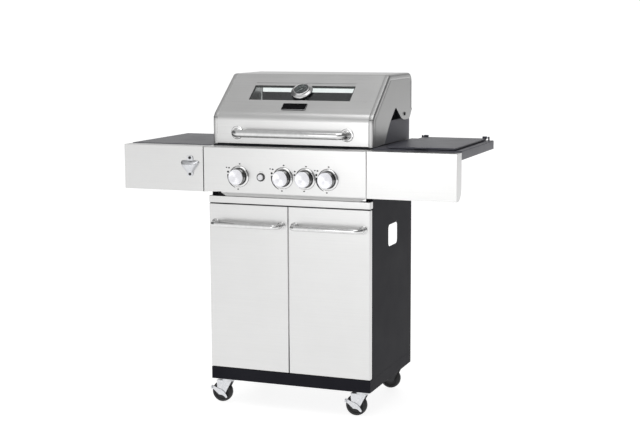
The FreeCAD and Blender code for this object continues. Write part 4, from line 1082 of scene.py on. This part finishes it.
def smooth_line(points, steps):
    """A closed smooth line through points."""
    points = [Vector(point) for point in points]
    count = len(points)
    result = []
    for number in range(count):
        before, start, end, after = (points[(number + shift) % count] for shift in (-1, 0, 1, 2))
        for step in range(steps):
            t = step / steps
            result.append(0.5 * (
                2 * start + (end - before) * t + (2 * before - 5 * start + 4 * end - after) * t ** 2
                + (3 * start - before - 3 * end + after) * t ** 3
            ))
    return result


# carried-over CAD nodes

WELD_DISTANCE = 0.02 * MM
EDGE_WIDTHS = {
    1.4 * MM: ("cooking_grates",),
    1.2 * MM: ("pot_trivet",),
    MM: ("main_burners", "side_burner", "gas_valves"),
    0.8 * MM: ("window_glass",),
    0.6 * MM: ("caster_plates", "base_tray", "side_panel", "door_catches"),
    0.5 * MM: ("caster_fork", "rear_housing", "firebox", "grease_tray", "rear_rail"),
    0.4 * MM: ("flame_tamers",),
}


def dress_cad_nodes():
    """Gives the CAD nodes their finishes, and rounds the edges of those that show."""
    slots = {part["node"]: part["material_slot"] for part in frame["record"]["subparts"]}
    for node, piece in frame["nodes"].items():
        piece.data.materials.clear()
        piece.data.materials.append(MATERIALS[slots[node]])
        for width, starts in EDGE_WIDTHS.items():
            if node.startswith(starts) and not piece.hide_render:
                weld = piece.modifiers.new("weld", "WELD")
                weld.merge_threshold = WELD_DISTANCE
                soften(piece, width)


def make_pieces():
    for make in (
        make_doors, make_front_rail, make_frame_bar, make_firebox_lip, make_control_panel,
        make_shelf_fronts, make_handles, make_knobs, make_bezels, make_prints, make_igniter, make_lid_skin,
        make_lid_ends, make_lid_details, make_thermometer, make_badge, make_hinge_bolts,
        make_housing_rivets, make_opener, make_screws, make_shelf_trays, make_burner_cover, make_wheels,
        make_brake_levers,
    ):
        make()


# stage

CAMERA_PLACE = Vector((1.7336, -4.382, 1.3401))
CAMERA_AZIMUTH, CAMERA_ELEVATION, CAMERA_ROLL = 21.118, 7.999, 0.25
CAMERA_LENS, SENSOR_WIDTH = 74.49, 36
FLOOR_HALF = 12

# Greys of the studio round the grill, by direction: from straight down (0) to straight up (1) over the
# front and over the back, and from the left (0) to the right (1).
FRONT_GREYS = (
    (0.0, 1.0), (0.5, 1.05), (0.62, 1.05), (0.68, 0.8), (0.76, 0.64), (0.88, 0.6), (1.0, 0.56),
)
BACK_GREYS = ((0.0, 1.0), (0.5, 1.05), (0.525, 1.05), (0.56, 0.72), (0.8, 0.6), (1.0, 0.56))
SIDE_GREYS = ((0.0, 0.22), (0.1, 0.22), (0.18, 1.0), (0.52, 1.0), (0.6, 0.62), (0.8, 0.32), (1.0, 0.22))
BACK_STARTS, BACK_FULL = -0.1, 0.3


def add_camera():
    camera = bpy.data.cameras.new("camera")
    camera.lens = CAMERA_LENS
    camera.sensor_width = SENSOR_WIDTH
    holder = add_object("camera", camera)
    level = Euler((radians(90 - CAMERA_ELEVATION), 0, radians(CAMERA_AZIMUTH))).to_matrix()
    roll = Matrix.Rotation(radians(-CAMERA_ROLL), 3, "Z")
    holder.matrix_world = Matrix.Translation(CAMERA_PLACE) @ (level @ roll).to_4x4()
    bpy.context.scene.camera = holder


def add_softbox(name, place, target, width, height, power):
    light = bpy.data.lights.new(name, "AREA")
    light.shape = "RECTANGLE"
    light.size, light.size_y = width, height
    light.energy = power
    holder = add_object(name, light)
    facing = (Vector(target) - Vector(place)).to_track_quat("-Z", "Y")
    holder.matrix_world = Matrix.Translation(place) @ facing.to_matrix().to_4x4()


def add_world():
    """A pale studio: bright at the horizon, greyer overhead, behind the grill and at both sides."""
    world = bpy.data.worlds.new("studio")
    world.use_nodes = True
    nodes, links = world.node_tree.nodes, world.node_tree.links
    direction = nodes.new("ShaderNodeTexCoord").outputs["Generated"]
    parts = nodes.new("ShaderNodeSeparateXYZ")
    links.new(direction, parts.inputs["Vector"])

    def share_along(axis, low, high):
        return map_range(world.node_tree, parts.outputs[axis], low, high, 0, 1)

    def greys(share, stops):
        ramp = nodes.new("ShaderNodeValToRGB")
        elements = ramp.color_ramp.elements
        while len(elements) < len(stops):
            elements.new(0.5)
        for element, (place, grey) in zip(elements, stops):
            element.position = place
            element.color = (grey, grey, grey, 1)
        links.new(share, ramp.inputs["Fac"])
        return ramp.outputs["Color"]

    def mixed(first, second, blend, share=None):
        mix = nodes.new("ShaderNodeMix")
        mix.data_type, mix.blend_type = "RGBA", blend
        mix.inputs[0].default_value = 1
        if share:
            links.new(share, mix.inputs[0])
        links.new(first, mix.inputs[6])
        links.new(second, mix.inputs[7])
        return mix.outputs[2]

    height = share_along("Z", -1, 1)
    behind = share_along("Y", BACK_STARTS, BACK_FULL)
    around = mixed(greys(height, FRONT_GREYS), greys(height, BACK_GREYS), "MIX", behind)
    sides = greys(share_along("X", -1, 1), SIDE_GREYS)
    links.new(mixed(around, sides, "MULTIPLY"), nodes["Background"].inputs["Color"])
    bpy.context.scene.world = world


def add_floor():
    mesh = bpy.data.meshes.new("floor")
    corners = rectangle(-FLOOR_HALF, FLOOR_HALF, -FLOOR_HALF, FLOOR_HALF)
    mesh.from_pydata([(x, y, 0) for x, y in corners], [], [(0, 1, 2, 3)])
    floor = add_object("floor", mesh)
    n = Nodes("studio_floor")
    n.tint(n.span(n.noise(3), 0, 1), (0.35, 0.35, 0.35), (0.37, 0.37, 0.37))
    n.set(Roughness=0.6, Emission_Color=(1, 1, 1, 1), Emission_Strength=0.88)
    mesh.materials.append(n.material)


def build_stage():
    bpy.context.scene.view_settings.view_transform = "Standard"
    add_camera()
    add_world()
    add_floor()
    add_softbox("front_box", (-0.7, -4.2, 1.0), (0, 0, 0.8), 1.2, 1.1, 8)
    add_softbox("top_box", (0.6, -1.2, 4.2), (0, 0, 0.6), 3.0, 3.0, 40)


make_pieces()
dress_cad_nodes()
build_stage()
